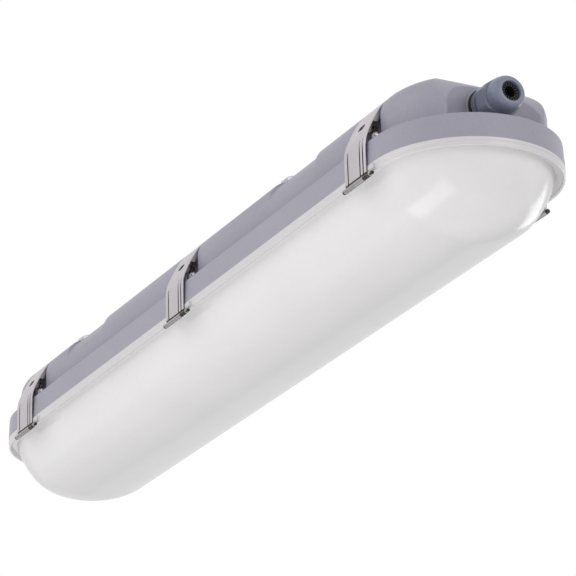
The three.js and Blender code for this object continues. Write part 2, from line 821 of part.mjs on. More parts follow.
/** The pivot ears' outline, from their feet on the strap round the pivot. */
function earOutline() {
  const { bendEnd, slot } = strapLine();
  const feet = earFootShares.map((share) => [
    bendEnd[0] + (slot[0] - bendEnd[0]) * share,
    bendEnd[1] + (slot[1] - bendEnd[1]) * share,
  ]);
  const outline = [...feet];
  for (let i = 0; i <= boreSides / 2; i += 1) {
    const turn = Math.PI / 2 + (i / boreSides) * 2 * Math.PI;
    outline.push([leverPivot[0] + earRadius * Math.cos(turn), leverPivot[1] + earRadius * Math.sin(turn)]);
  }
  return outline;
}

/** A slot through the strap, square to it, with rounded ends. */
function strapSlot() {
  const { bendEnd, slot, afterSlot } = strapLine();
  const shape = new THREE.Shape();
  const [half, round] = [(slotLength - slotWidth) / 2, slotWidth / 2];
  shape.absarc(half, 0, round, -Math.PI / 2, Math.PI / 2);
  shape.absarc(-half, 0, round, Math.PI / 2, (3 * Math.PI) / 2);
  const depth = 2 * overrun;
  const geometry = new THREE.ExtrudeGeometry(shape, { depth, bevelEnabled: false, curveSegments: 4 });
  geometry.translate(0, 0, -depth / 2);
  const lean = Math.atan2(afterSlot[1] - bendEnd[1], bendEnd[0] - afterSlot[0]);
  return solid(geometry.rotateX(-lean).translate(0, slot[0], slot[1]));
}

/** A shallow groove down the strap's face. */
function strapGroove(share) {
  const face = rimRadius + strapStandOff + strapThickness;
  const centre = (share * strapWidth) / 2;
  const low = [centre - grooveWidth / 2, face - grooveDepth, grooveEnd + hookHeight + strapNeckHeight];
  return solid(block(low, [centre + grooveWidth / 2, face + overrun, bandHeight - grooveTopDrop]));
}

function leverGeometry() {
  const { line } = strapLine();
  const left = movedAside(line, strapThickness / 2);
  const right = movedAside(line, -strapThickness / 2);
  const strap = solid(alongX([...left, ...right.reverse()], strapWidth));
  const half = strapWidth / 2;
  const roll = solid(barAlongX(rollRadius, -half, half, [hookRadiusOut, hookHeight]));
  const ears = [-1, 1].map((end) => solid(alongX(earOutline(), earThickness).translate(end * earCentre, 0, 0)));
  const cutHalf = half + overrun;
  const rodBore = solid(barAlongX(rodRadius + clearance, -cutHalf, cutHalf, [hookRadiusOut, hookHeight]));
  const pivotBore = solid(barAlongX(wireRadius + clearance, -bailHalf, bailHalf, leverPivot));
  return geometryOf(
    cut(joined(strap, roll, ...ears), rodBore, pivotBore, strapSlot(), ...grooveShares.map(strapGroove)),
  );
}

/** Wire bail from one lug to the other, round the lever's pivot. */
function bailGeometry() {
  const tip = lugStart + lugThickness - trunnionInset;
  const path = [
    [-tip, ...lugPivot],
    [-bailHalf, ...lugPivot],
    [-bailHalf, ...leverPivot],
    [bailHalf, ...leverPivot],
    [bailHalf, ...lugPivot],
    [tip, ...lugPivot],
  ];
  return welded(bentWire(path, wireRadius, wireSides));
}

/** Rod in the roll, with an upset head at one end, and a collar and a round tip at the other. */
function hookRodGeometry() {
  const edge = strapWidth / 2 + clearance;
  const collarEnd = edge + rodCollarLength;
  const tipCentre = rodTipReach - rodTipRadius;
  const profile = [
    [-rodTipReach, 0],
    [-tipCentre - rodTipRadius / 2, (rodTipRadius * Math.sqrt(3)) / 2],
    [-tipCentre + rodTipRadius / 2, (rodTipRadius * Math.sqrt(3)) / 2],
    [-tipCentre + rodTipRadius / 2, rodRadius],
    [-collarEnd, rodRadius],
    [-collarEnd, rodCollarRadius],
    [-edge, rodCollarRadius],
    [-edge, rodRadius],
    [edge, rodRadius],
    [edge, rodCollarRadius],
    [edge + rodHeadLength, rodCollarRadius],
    [edge + rodHeadLength, 0],
  ];
  return welded(turnedAboutX(profile, boreSides).translate(0, hookRadiusOut, hookHeight));
}

// Lamp gear

/** A pan-head screw along Z, its head under or over the seat height. */
function screwGeometry([x, y], seat, length, headBelow) {
  const away = headBelow ? -1 : 1;
  const profile = [
    [away * screwHeadHeight, 0],
    [away * screwHeadHeight, screwHeadRadius / 2],
    [away * (screwHeadHeight / 2), screwHeadRadius],
    [0, screwHeadRadius],
    [0, screwShankRadius],
    [-away * length, screwShankRadius],
    [-away * length, 0],
  ];
  const geometry = turnedAboutX(profile, screwSides);
  return welded(geometry.rotateY(-Math.PI / 2).translate(x, y, seat));
}

/** Screw holes through the tray, as [x, y] places. */
const driverScrewPlaces = [-1, 1].map((end) => [driverCentreX + end * driverTabCentre, 0]);
const earthScrewPlace = [earthScrewX, earthScrewY];

/** Folded steel tray with lips up both long sides. */
function trayGeometry() {
  const half = trayWidth / 2;
  const lipTop = trayTop + trayLipHeight;
  const outline = [
    [-half, trayBottom],
    [half, trayBottom],
    [half, lipTop],
    [half - traySheet, lipTop],
    [half - traySheet, trayTop],
    [traySheet - half, trayTop],
    [traySheet - half, lipTop],
    [-half, lipTop],
  ];
  const holes = [...pillarPlaces, ...driverScrewPlaces, earthScrewPlace].map((place) =>
    solid(barAlongZ(screwHoleRadius, trayBottom - overrun, trayTop + overrun, place)),
  );
  const wireHole = solid(
    barAlongZ(trayWireHoleRadius, trayBottom - overrun, trayTop + overrun, [trayWireHoleX, 0], glandSides / 2),
  );
  return geometryOf(cut(solid(alongX(outline, trayLength)), wireHole, ...holes));
}

/** A lamp board with its row of light-emitting chips underneath. */
function boardGeometry() {
  const halfLength = boardLength / 2;
  const bottom = boardTop - boardThickness;
  const board = solid(block([-halfLength, -boardWidth / 2, bottom], [halfLength, boardWidth / 2, boardTop]));
  const pitch = boardLength / chipCount;
  const chips = Array.from({ length: chipCount }, (_, i) => {
    const centre = (i + 1 / 2) * pitch - halfLength;
    const low = [centre - chipSize / 2, -chipSize / 2, bottom - chipHeight];
    return solid(block(low, [centre + chipSize / 2, chipSize / 2, boardTop - boardThickness / 2]));
  });
  return geometryOf(joined(board, ...chips));
}

/** Driver case with bevelled long edges and a screw tab at each end. */
function driverGeometry() {
  const half = driverWidth / 2;
  const top = gearSeat + driverHeight;
  const outline = [
    [-half, gearSeat],
    [half, gearSeat],
    [half, top - driverBevel],
    [half - driverBevel, top],
    [driverBevel - half, top],
    [-half, top - driverBevel],
  ];
  const reach = driverLength / 2 + driverTabLength;
  const low = [-reach, -driverTabWidth / 2, gearSeat];
  const tabs = solid(block(low, [reach, driverTabWidth / 2, gearSeat + driverTabHeight]));
  const body = joined(solid(alongX(outline, driverLength)), tabs).translate([driverCentreX, 0, 0]);
  const holes = driverScrewPlaces.map((place) =>
    solid(barAlongZ(screwHoleRadius, gearSeat - overrun, gearSeat + driverTabHeight + overrun, place)),
  );
  return geometryOf(cut(body, ...holes));
}

/** Places of the terminal block's poles across the fixture. */
const poleOffsets = Array.from(
  { length: terminalPoleCount },
  (_, i) => (i - (terminalPoleCount - 1) / 2) * terminalPolePitch,
);

/** Terminal block with a wire port at both ends of each pole. */
function terminalGeometry() {
  const half = terminalLength / 2;
  const halfWidth = (terminalPolePitch * terminalPoleCount) / 2;
  const body = solid(block([-half, -halfWidth, gearSeat], [half, halfWidth, gearSeat + terminalHeight]));
  const portBottom = gearSeat + terminalPortHeight;
  const ports = poleOffsets.flatMap((y) =>
    [-1, 1].map((end) => {
      const inner = end * (half - terminalPortDepth);
      const outer = end * (half + overrun);
      const low = [Math.min(inner, outer), y - terminalPortSize / 2, portBottom];
      const high = [Math.max(inner, outer), y + terminalPortSize / 2, portBottom + terminalPortSize];
      return solid(block(low, high));
    }),
  );
  return geometryOf(cut(body, ...ports).translate([terminalCentreX, 0, 0]));
}

/** Where the terminal block's left ports take their wires. */
const terminalMouth = terminalCentreX - terminalLength / 2 + terminalPortDepth / 2;
const portAxisHeight = gearSeat + terminalPortHeight + terminalPortSize / 2;

/** A wire from a terminal port to the driver's right end. */
function supplyWireGeometry(poleY) {
  const end = driverRight + clearance;
  const span = terminalMouth - end;
  const [reachShare, archShare] = [0.3, 0.08];
  const arch = portAxisHeight + span * archShare;
  const path = [
    [terminalMouth, poleY, portAxisHeight],
    [terminalMouth - terminalPortDepth, poleY, portAxisHeight],
    [terminalMouth - span * reachShare, poleY, arch],
    [end + span * reachShare, poleY, arch],
    [end + terminalPortDepth, poleY, portAxisHeight],
    [end, poleY, portAxisHeight],
  ];
  return welded(bentWire(path, conductorRadius, conductorSides));
}

/** The earth wire from its port to the earth screw on the tray. */
function earthWireGeometry(poleY) {
  const seatHeight = trayTop + clearance + conductorRadius;
  const stop = earthScrewX + screwHeadRadius + clearance;
  const path = [
    [terminalMouth, poleY, portAxisHeight],
    [terminalMouth - 2 * terminalPortDepth, poleY, portAxisHeight],
    [stop + 2 * terminalPortDepth, earthScrewY, seatHeight],
    [stop, earthScrewY, seatHeight],
  ];
  return welded(bentWire(path, conductorRadius, conductorSides));
}

/** A wire from the driver's left end through the tray's hole to a lamp board. */
function ledWireGeometry(side) {
  const y = side * ledWireOffset;
  const edge = side * (boardGap / 2 - clearance);
  const low = trayBottom - clearance - conductorRadius;
  const start = driverLeft - clearance;
  const path = [
    [start, y, portAxisHeight],
    [start - driverTabLength - trayWireHoleRadius, y, portAxisHeight],
    [trayWireHoleX, y, trayTop + trayWireHoleRadius],
    [trayWireHoleX, y, low],
    [trayWireHoleX, edge, low],
  ];
  return welded(bentWire(path, conductorRadius, conductorSides));
}

// Cable gland, along +X at its height in the bay

/** A ring about the gland's axis. */
const glandRing = (profile) => ringAboutX(profile, glandSides).translate(0, 0, glandAxisHeight);

const washerGeometry = () =>
  welded(
    glandRing([
      [washerX, glandThreadRadius + clearance],
      [washerX, washerRadius],
      [washerX + washerThickness, washerRadius],
      [washerX + washerThickness, glandThreadRadius + clearance],
    ]),
  );

/** Gland body: thread through the wall, flange on the washer, and a nose inside the nut. */
const glandBodyGeometry = () =>
  welded(
    glandRing([
      [locknutX - clearance, glandBoreRadius],
      [locknutX - clearance, glandThreadRadius],
      [glandFlangeX, glandThreadRadius],
      [glandFlangeX, glandFlangeRadius],
      [glandNeckX, glandFlangeRadius],
      [glandNeckX, glandNeckRadius],
      [nutX - clearance, glandNeckRadius],
      [nutX - clearance, glandThreadRadius],
      [noseEndX, glandThreadRadius],
      [noseEndX, glandBoreRadius],
    ]),
  );

function locknutGeometry() {
  const hex = solid(hexAlongX(locknutAcrossFlats, locknutX, locknutX + locknutThickness, glandAxisHeight));
  const span = [locknutX - overrun, locknutX + locknutThickness + overrun];
  const bore = solid(barAlongX(glandThreadRadius + clearance, ...span, [0, glandAxisHeight], glandSides));
  return geometryOf(hex.subtract(bore));
}

/** Seal that grips a cable, with notches between its inner teeth. */
function sealGeometry() {
  const toothStep = (2 * Math.PI) / sealToothCount;
  const outer = nutCavityRadius - clearance;
  const shape = new THREE.Shape();
  shape.absarc(0, 0, outer, 0, 2 * Math.PI);
  const bore = new THREE.Path();
  const turns = [0, 0.5, 0.62, 0.88];
  const radii = [sealBoreRadius, sealBoreRadius, sealRootRadius, sealRootRadius];
  const points = Array.from({ length: sealToothCount }, (_, tooth) =>
    turns.map((turn, i) => {
      const angle = (tooth + turn) * toothStep;
      return new THREE.Vector2(radii[i] * Math.cos(angle), radii[i] * Math.sin(angle));
    }),
  ).flat();
  bore.setFromPoints(points);
  shape.holes.push(bore);
  const from = noseEndX + clearance;
  const depth = nutEndX - nutMouthDepth - clearance - from;
  const geometry = new THREE.ExtrudeGeometry(shape, { depth, bevelEnabled: false, curveSegments: glandSides / 4 });
  geometry.applyMatrix4(new THREE.Matrix4().makeBasis(unitY, unitZ, unitX));
  return welded(geometry.translate(from, 0, glandAxisHeight));
}

/** Dome nut: hexagon at its foot, round dome in front, open mouth. */
function glandNutGeometry() {
  const domeX = nutX + nutHexLength;
  const domeSteps = 5;
  const rimOut = nutMouthRadius + nutMouthRim;
  const dome = [[nutX, 0], [nutX, nutCornerRadius]];
  for (let i = 0; i <= domeSteps; i += 1) {
    const turn = (i / domeSteps) * (Math.PI / 2);
    dome.push([
      domeX + (nutEndX - domeX) * Math.sin(turn),
      rimOut + (nutCornerRadius - rimOut) * Math.cos(turn),
    ]);
  }
  dome.push([nutEndX, 0]);
  const turned = solid(turnedAboutX(dome, glandSides).translate(0, 0, glandAxisHeight));
  const hex = solid(hexAlongX(nutAcrossFlats, nutX - overrun, nutEndX + overrun, glandAxisHeight));
  const hollow = solid(
    turnedAboutX(
      [
        [nutX - overrun, 0],
        [nutX - overrun, glandThreadRadius + clearance],
        [noseEndX, glandThreadRadius + clearance],
        [noseEndX, nutCavityRadius],
        [nutEndX - nutMouthDepth, nutCavityRadius],
        [nutEndX - nutMouthDepth, nutMouthRadius],
        [nutEndX + overrun, nutMouthRadius],
        [nutEndX + overrun, 0],
      ],
      glandSides,
    ).translate(0, 0, glandAxisHeight),
  );
  return geometryOf(turned.intersect(hex).subtract(hollow));
}

// The fixture as a scene graph

const fixture = new THREE.Group();
fixture.position.z = -ceilingHeight;

/** Adds one named piece to a group. */
function place(group, name, geometry, material) {
  const mesh = new THREE.Mesh(geometry, material);
  mesh.name = name;
  group.add(mesh);
  return mesh;
}

place(fixture, "housing", housingGeometry(), housingGrey);
place(fixture, "housing_gasket", gasketGeometry(), blackRubber);
place(fixture, "diffuser", diffuserGeometry(), opalPlastic);

bracketCentres.forEach((x, i) => {
  place(fixture, `ceiling_bracket_${i + 1}`, bracketGeometry(), zincSteel).position.x = x;
});

latchFrames.forEach(({ name, x, turn }) => {
  const latch = new THREE.Group();
  latch.position.x = x;
  latch.rotation.z = turn;
  fixture.add(latch);
  place(latch, `${name}_lever`, leverGeometry(), stainlessSteel);
  place(latch, `${name}_bail`, bailGeometry(), darkSteel);
  place(latch, `${name}_hook_rod`, hookRodGeometry(), darkSteel);
});

place(fixture, "gear_tray", trayGeometry(), whitePaint);
place(fixture, "led_board_near", boardGeometry(), boardWhite).position.y = -boardCentreY;
place(fixture, "led_board_far", boardGeometry(), boardWhite).position.y = boardCentreY;
place(fixture, "led_driver", driverGeometry(), driverCase);
place(fixture, "terminal_block", terminalGeometry(), terminalBeige);

const [nearPole, middlePole, farPole] = poleOffsets;
const wire = (name) => finish(wireColours[name], 0.5);
place(fixture, "line_wire", supplyWireGeometry(nearPole), wire("line"));
place(fixture, "neutral_wire", supplyWireGeometry(middlePole), wire("neutral"));
place(fixture, "earth_wire", earthWireGeometry(farPole), wire("earth"));
place(fixture, "led_wire_positive", ledWireGeometry(-1), wire("positive"));
place(fixture, "led_wire_negative", ledWireGeometry(1), wire("negative"));

pillarPlaces.forEach((spot, i) => {
  const seat = trayBottom - clearance;
  place(fixture, `tray_screw_${i + 1}`, screwGeometry(spot, seat, trayScrewLength, true), zincSteel);
});
driverScrewPlaces.forEach((spot, i) => {
  const seat = gearSeat + driverTabHeight + clearance;
  place(fixture, `driver_screw_${i + 1}`, screwGeometry(spot, seat, driverScrewLength, false), zincSteel);
});
const earthSeat = trayTop + clearance;
place(fixture, "earth_screw", screwGeometry(earthScrewPlace, earthSeat, earthScrewLength, false), zincSteel);

place(fixture, "gland_washer", washerGeometry(), blackRubber);
place(fixture, "gland_body", glandBodyGeometry(), glandGrey);
place(fixture, "gland_locknut", locknutGeometry(), glandGrey);
place(fixture, "gland_seal", sealGeometry(), blackRubber);
place(fixture, "gland_nut", glandNutGeometry(), glandGrey);

export default fixture;
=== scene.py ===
"""Looks of a vapor tight ceiling light: grey moulded housing, opal bowl, six steel toggle
latches, two roof brackets and a cable gland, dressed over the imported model.

Lengths are metres. The long side runs along X, the near side faces -Y, and the ceiling is the
plane z = 0.
"""

from __future__ import annotations

import logging
import math
from collections.abc import Iterable, Iterator, Sequence
from contextlib import contextmanager
from dataclasses import dataclass, field
from enum import Enum
from itertools import pairwise

import bpy
from mathutils import Matrix, Quaternion, Vector


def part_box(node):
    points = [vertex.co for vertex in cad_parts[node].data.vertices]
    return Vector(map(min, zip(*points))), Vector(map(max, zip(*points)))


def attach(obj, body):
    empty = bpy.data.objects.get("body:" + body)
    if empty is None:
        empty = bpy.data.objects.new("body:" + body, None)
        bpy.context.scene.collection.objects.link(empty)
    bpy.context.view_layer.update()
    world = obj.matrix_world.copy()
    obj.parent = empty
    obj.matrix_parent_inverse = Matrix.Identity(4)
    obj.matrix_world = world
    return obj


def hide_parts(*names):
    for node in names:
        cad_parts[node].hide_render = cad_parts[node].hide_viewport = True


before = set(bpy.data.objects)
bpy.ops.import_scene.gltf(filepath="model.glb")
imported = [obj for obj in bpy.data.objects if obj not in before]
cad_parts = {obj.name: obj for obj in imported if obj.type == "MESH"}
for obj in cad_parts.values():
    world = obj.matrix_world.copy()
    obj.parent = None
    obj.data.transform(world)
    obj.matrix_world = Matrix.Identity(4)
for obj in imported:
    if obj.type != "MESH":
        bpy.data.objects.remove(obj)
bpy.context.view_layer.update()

log = logging.getLogger("light")

WELD = 1e-5
OVERRUN = 0.002
CLEARANCE = 0.0003
SOFT_EDGE = math.radians(32)
QUARTER = math.pi / 2

LATCH_PLACES = ("left", "middle", "right")

Place = tuple[float, float]
Colour = tuple[float, float, float]
Piece = bpy.types.Object
Material = bpy.types.Material
Socket = bpy.types.NodeSocket


class Join(Enum):
    """How a tool changes a piece."""

    ADD = "UNION"
    TAKE = "DIFFERENCE"
    KEEP = "INTERSECT"


class Side(Enum):
    """The two long sides, each with the turn of its latches."""

    NEAR = math.pi
    FAR = 0.0


# Bench: modelling steps that all pieces share


def only(piece: Piece) -> None:
    """Selects one piece alone and makes it active."""
    bpy.ops.object.select_all(action="DESELECT")
    piece.select_set(True)
    bpy.context.view_layer.objects.active = piece


@contextmanager
def editing(piece: Piece, mode: str = "VERT") -> Iterator[None]:
    """Opens one piece in edit mode, with all of it selected.

    Args:
        piece: The mesh to edit.
        mode: What is selected: VERT, EDGE or FACE.
    """
    only(piece)
    bpy.ops.object.mode_set(mode="EDIT")
    bpy.ops.mesh.select_mode(type=mode)
    bpy.ops.mesh.select_all(action="SELECT")
    try:
        yield
    finally:
        bpy.ops.object.mode_set(mode="OBJECT")


def drawn(name: str, points: Sequence[Vector]) -> Piece:
    """Draws a chain of edges, one point after another.

    Args:
        name: The new piece's name.
        points: The chain's places.

    Returns:
        The chain, as a mesh of edges.
    """
    bpy.ops.object.select_all(action="DESELECT")
    bpy.ops.mesh.primitive_plane_add(size=OVERRUN)
    piece = bpy.context.object
    piece.name = name
    with editing(piece):
        bpy.ops.mesh.merge(type="CENTER")
        bpy.ops.transform.translate(value=points[0])
        for here, there in pairwise(points):
            bpy.ops.mesh.extrude_vertices_move(TRANSFORM_OT_translate={"value": there - here})
    return piece


def closed_up() -> None:
    """Merges the doubles of the piece in edit mode and turns its faces outwards."""
    bpy.ops.mesh.select_all(action="SELECT")
    bpy.ops.mesh.remove_doubles(threshold=WELD)
    bpy.ops.mesh.normals_make_consistent(inside=False)


def prism(name: str, outline: Sequence[Vector], depth: Vector) -> Piece:
    """Extrudes a closed outline.

    Args:
        name: The new piece's name.
        outline: The outline's corners, in order.
        depth: The way from one end face to the other.

    Returns:
        The closed prism.
    """
    piece = drawn(name, outline)
    with editing(piece):
        bpy.ops.mesh.edge_face_add()
        bpy.ops.mesh.extrude_region_move(TRANSFORM_OT_translate={"value": depth})
        closed_up()
    return piece


def extruded(name: str, outline: Sequence[Place], axis: str, start: float, depth: float) -> Piece:
    """Extrudes a flat outline along X, Y or Z.

    Args:
        name: The new piece's name.
        outline: The outline's corners on the other two axes, in order.
        axis: The letter of the axis.
        start: Where on the axis the outline lies.
        depth: How far it is extruded.

    Returns:
        The closed prism.
    """
    index = "XYZ".index(axis)
    way = Vector((0, 0, 0))
    way[index] = depth
    return prism(name, [Vector((*place[:index], start, *place[index:])) for place in outline], way)


def turned(name: str, profile: Sequence[Place], steps: int, centre: Vector, ring: bool = False) -> Piece:
    """Turns a profile about an axis along X.

    Args:
        name: The new piece's name.
        profile: Places along the axis and their radii, from end to end.
        steps: Steps once round.
        centre: A place on the axis.
        ring: If the profile closes on itself instead of ending on the axis.

    Returns:
        The closed turned piece.
    """
    points = [centre + Vector((along, 0, radius)) for along, radius in profile]
    piece = drawn(name, points + points[:1] if ring else points)
    with editing(piece):
        bpy.ops.mesh.spin(steps=steps, angle=2 * math.pi, center=centre, axis=(1, 0, 0))
        closed_up()
    return piece


def round_bar(name: str, span: Place, radius: float, steps: int, centre: Vector) -> Piece:
    """A plain cylinder along X, from one place to another."""
    start, end = span
    return turned(name, [(start, 0), (start, radius), (end, radius), (end, 0)], steps, centre)


def finished_by(piece: Piece, kind: str, **settings: object) -> Piece:
    """Puts one modifier on a piece and applies it.

    Args:
        piece: The mesh.
        kind: The modifier's type.
        settings: The modifier's properties.

    Returns:
        The same piece.
    """
    only(piece)
    bpy.ops.object.modifier_add(type=kind)
    modifier = piece.modifiers[-1]
    for key, value in settings.items():
        setattr(modifier, key, value)
    bpy.ops.object.modifier_apply(modifier=modifier.name)
    return piece


def combined(piece: Piece, tool: Piece, how: Join) -> Piece:
    """Adds, takes away or keeps what a tool covers, and uses the tool up.

    Args:
        piece: The mesh that changes.
        tool: The closed mesh that it is combined with.
        how: The kind of combination.

    Returns:
        The same piece.
    """
    finished_by(piece, "BOOLEAN", operation=how.value, solver="EXACT", object=tool, material_mode="TRANSFER")
    bpy.data.objects.remove(tool)
    return piece


def bevelled(piece: Piece, width: float, segments: int = 3, angle: float = SOFT_EDGE) -> Piece:
    """Rounds the edges of a piece that are sharper than an angle."""
    return finished_by(
        piece, "BEVEL", width=width, segments=segments, limit_method="ANGLE", angle_limit=angle, use_clamp_overlap=True
    )


def smoothed(piece: Piece, angle: float = SOFT_EDGE) -> Piece:
    """Shades a piece smooth, apart from edges sharper than an angle."""
    only(piece)
    bpy.ops.object.shade_smooth_by_angle(angle=angle)
    return piece


def joined(name: str, parts: Sequence[Piece]) -> Piece:
    """Joins separate meshes into one piece.

    Args:
        name: The piece's name.
        parts: The meshes.

    Returns:
        The piece.
    """
    bpy.ops.object.select_all(action="DESELECT")
    for part in parts:
        part.select_set(True)
    bpy.context.view_layer.objects.active = parts[0]
    bpy.ops.object.join()
    parts[0].name = name
    return parts[0]


def placed_copy(source: Piece, name: str, place: Matrix) -> Piece:
    """Copies a piece with a mesh of its own, and moves the copy's mesh to its place.

    Args:
        source: The piece that is copied.
        name: The copy's name.
        place: The move and turn, applied to the mesh.

    Returns:
        The copy.
    """
    only(source)
    bpy.ops.object.duplicate()
    copy = bpy.context.object
    copy.name = name
    copy.data.name = name
    copy.matrix_world = place
    bpy.ops.object.transform_apply(location=True, rotation=True, scale=True)
    return copy


def copies_of(model: Piece, name: str, places: Iterable[Matrix]) -> list[Piece]:
    """Puts a copy of a piece at each place, and uses the piece up."""
    copies = [placed_copy(model, name, place) for place in places]
    bpy.data.objects.remove(model)
    return copies


def fitted(piece: Piece, material: Material, body: str, slot: str, *nodes: str) -> Piece:
    """Gives a finished piece its material and body, in place of its nodes.

    Args:
        piece: The finished piece.
        material: Its finish, where it has none yet.
        body: The body that it moves with.
        slot: The record's slot of its finish. Not used.
        nodes: The frame's nodes that it stands for.

    Returns:
        The same piece.
    """
    if not any(piece.data.materials):
        piece.data.materials.clear()
        piece.data.materials.append(material)
    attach(piece, body)
    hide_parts(*nodes)
    return piece


def span_of(node: str) -> Place:
    """Where a node of the frame starts and ends along the fixture."""
    low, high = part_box(node)
    return low.x, high.x


def arc(centre: Place, radius: float, start: float, end: float, steps: int) -> list[Place]:
    """Places on an arc between two angles, both ends included."""
    angles = [start + (end - start) * i / steps for i in range(steps + 1)]
    return [(centre[0] + radius * math.cos(turn), centre[1] + radius * math.sin(turn)) for turn in angles]


def circle(centre: Place, radius: float, steps: int) -> list[Place]:
    """Places once round a circle."""
    return arc(centre, radius, 0, 2 * math.pi, steps)[:-1]


def moved(line: Sequence[Place], reach: float) -> list[Place]:
    """A line moved to the right of the way it runs."""
    places = []
    for i, place in enumerate(line):
        before, after = Vector(line[max(i - 1, 0)]), Vector(line[min(i + 1, len(line) - 1)])
        run = (after - before).normalized()
        places.append((place[0] + run.y * reach, place[1] - run.x * reach))
    return places


def rounded(points: Sequence[Vector], reach: float, steps: int = 6) -> list[Vector]:
    """Rounds the corners of a line.

    Args:
        points: The line's corners.
        reach: How far from a corner its rounding starts, at most.
        steps: Steps in each rounding.

    Returns:
        The rounded line's places.
    """
    line = [points[0]]
    for before, corner, after in zip(points, points[1:], points[2:]):
        start = corner + (before - corner).normalized() * min(reach, (before - corner).length / 2)
        end = corner + (after - corner).normalized() * min(reach, (after - corner).length / 2)
        for i in range(steps + 1):
            share = i / steps
            line.append(start.lerp(corner, share).lerp(corner.lerp(end, share), share))
    line.append(points[-1])
    return [line[0]] + [there for here, there in pairwise(line) if (there - here).length > WELD]


def wire(name: str, points: Sequence[Vector], radius: float) -> Piece:
    """Draws a round wire along a line, closed at both ends."""
    piece = drawn(name, points)
    only(piece)
    bpy.ops.object.convert(target="CURVE")
    piece.data.bevel_depth = radius
    piece.data.bevel_resolution = 4
    piece.data.use_fill_caps = True
    bpy.ops.object.convert(target="MESH")
    return piece


def gap_to(line: Sequence[Place], place: Vector) -> float:
    """Distance from a place to a line of places."""
    gaps = []
    for first, second in zip(line, line[1:]):
        start, run = Vector(first), Vector(second) - Vector(first)
        share = max(0.0, min(1.0, (place - start).dot(run) / run.length_squared))
        gaps.append((place - start - run * share).length)
    return min(gaps)


def eased(share: float) -> float:
    """A share from none to all that starts and ends gently."""
    share = min(max(share, 0.0), 1.0)
    return share * share * (3 - 2 * share)


# Plan of the fixture, as the frame gives it


@dataclass(frozen=True)
class Plan:
    """Places that several sub-assemblies share."""

    parting: float
    body_height: float
    rim_radius: float
    spine_half: float
    latch_middles: tuple[float, ...]
    gland_axis: Vector
    ledge_width: float = 0.0093
    band_height: float = 0.0162
    shoulder_radius: float = 0.0166
    lug_out: float = 0.0043
    lug_rise: float = 0.0033
    lip_angle: float = math.radians(60)
    lip_thickness: float = 0.0012
    lip_depth: float = 0.0012
    end_steps: int = 48

    @classmethod
    def of_frame(cls) -> Plan:
        """Reads the boxes of the housing, the near latches' levers and the gland's washer."""
        low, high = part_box("housing")
        washer_low, washer_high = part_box("gland_washer")
        return cls(
            parting=low.z,
            body_height=high.z - low.z,
            rim_radius=high.y,
            spine_half=high.x - high.y,
            latch_middles=tuple(sum(span_of(f"latch_near_{place}_lever")) / 2 for place in LATCH_PLACES),
            gland_axis=Vector((0, 0, (washer_low.z + washer_high.z) / 2)),
        )

    @property
    def body_radius(self) -> float:
        """How far the body's wall stands from the spine."""
        return self.rim_radius - self.ledge_width

    @property
    def shoulder_centre(self) -> Place:
        """The centre of the shoulder's round, outwards and up from the parting plane."""
        return self.body_radius - self.shoulder_radius, self.body_height - self.shoulder_radius

    @property
    def lug_pivot(self) -> Place:
        """The bails' axis on the housing, outwards and up from the parting plane."""
        return self.body_radius + self.lug_out, self.band_height + self.lug_rise

    def shoulder(self, angle: float, offset: float = 0.0) -> Place:
        """A place on the shoulder by its angle, at a height off the surface."""
        out, height = self.shoulder_centre
        reach = self.shoulder_radius + offset
        return out + reach * math.cos(angle), height + reach * math.sin(angle)

    def latch_turns(self) -> dict[str, Matrix]:
        """The name and the place of each of the six latches, as a move and turn from its own frame."""
        return {
            f"latch_{side.name.lower()}_{place}": Matrix.Translation((middle, 0, 0))
            @ Matrix.Rotation(side.value, 4, "Z")
            for side in Side
            for place, middle in zip(LATCH_PLACES, self.latch_middles)
        }

    def swept(self, name: str, profile: Sequence[Place], stops: Sequence[float] = ()) -> Piece:
        """Carries a profile once round the spine.

        Args:
            name: The new piece's name.
            profile: Places outwards and up from the parting plane, from the spine to the spine.
            stops: Places along the straight sides where the form gets a row of corners.

        Returns:
            The closed piece.
        """
        ends = [-self.spine_half, *sorted(stops), self.spine_half]
        line = [Vector((-self.spine_half, -out, self.parting + height)) for out, height in profile]
        piece = drawn(name, line)
        with editing(piece, "EDGE"):
            for direction in (1, -1):
                for here, there in pairwise(ends if direction > 0 else ends[::-1]):
                    bpy.ops.mesh.extrude_region_move(TRANSFORM_OT_translate={"value": (there - here, 0, 0)})
                centre = (direction * self.spine_half, 0, 0)
                bpy.ops.mesh.spin(steps=self.end_steps, angle=-math.pi, center=centre, axis=(0, 0, 1))
            closed_up()
        return piece


# Finishes


class Signal:
    """A number socket of a material. Arithmetic on it adds the nodes that work it out."""

    def __init__(self, recipe: Recipe, socket: Socket) -> None:
        """Keeps the socket and the recipe that owns it."""
        self.recipe = recipe
        self.socket = socket

    def _by(self, operation: str, first: Value, second: Value) -> Signal:
        """Adds one Math node."""
        node = self.recipe.node("ShaderNodeMath", {0: first, 1: second}, operation=operation)
        return Signal(self.recipe, node.outputs[0])

    def __add__(self, other: Value) -> Signal:
        """The sum."""
        return self._by("ADD", self, other)

    __radd__ = __add__

    def __sub__(self, other: Value) -> Signal:
        """The difference."""
        return self._by("SUBTRACT", self, other)

    def __rsub__(self, other: Value) -> Signal:
        """The difference, turned round."""
        return self._by("SUBTRACT", other, self)

    def __mul__(self, other: Value) -> Signal:
        """The product."""
        return self._by("MULTIPLY", self, other)

    def swing(self, amount: float) -> Signal:
        """A noise's swing about its middle, by an amount from end to end."""
        return (self - 0.5) * amount

    def between(self, low: float = 0.3, high: float = 0.7) -> Signal:
        """How far the number is from a low to a high value, as a share from none to all."""
        inputs = {"Value": self, "From Min": low, "From Max": high}
        node = self.recipe.node("ShaderNodeMapRange", inputs, interpolation_type="SMOOTHSTEP")
        return Signal(self.recipe, node.outputs[0])


Value = float | Signal
Inputs = dict[str | int, object]


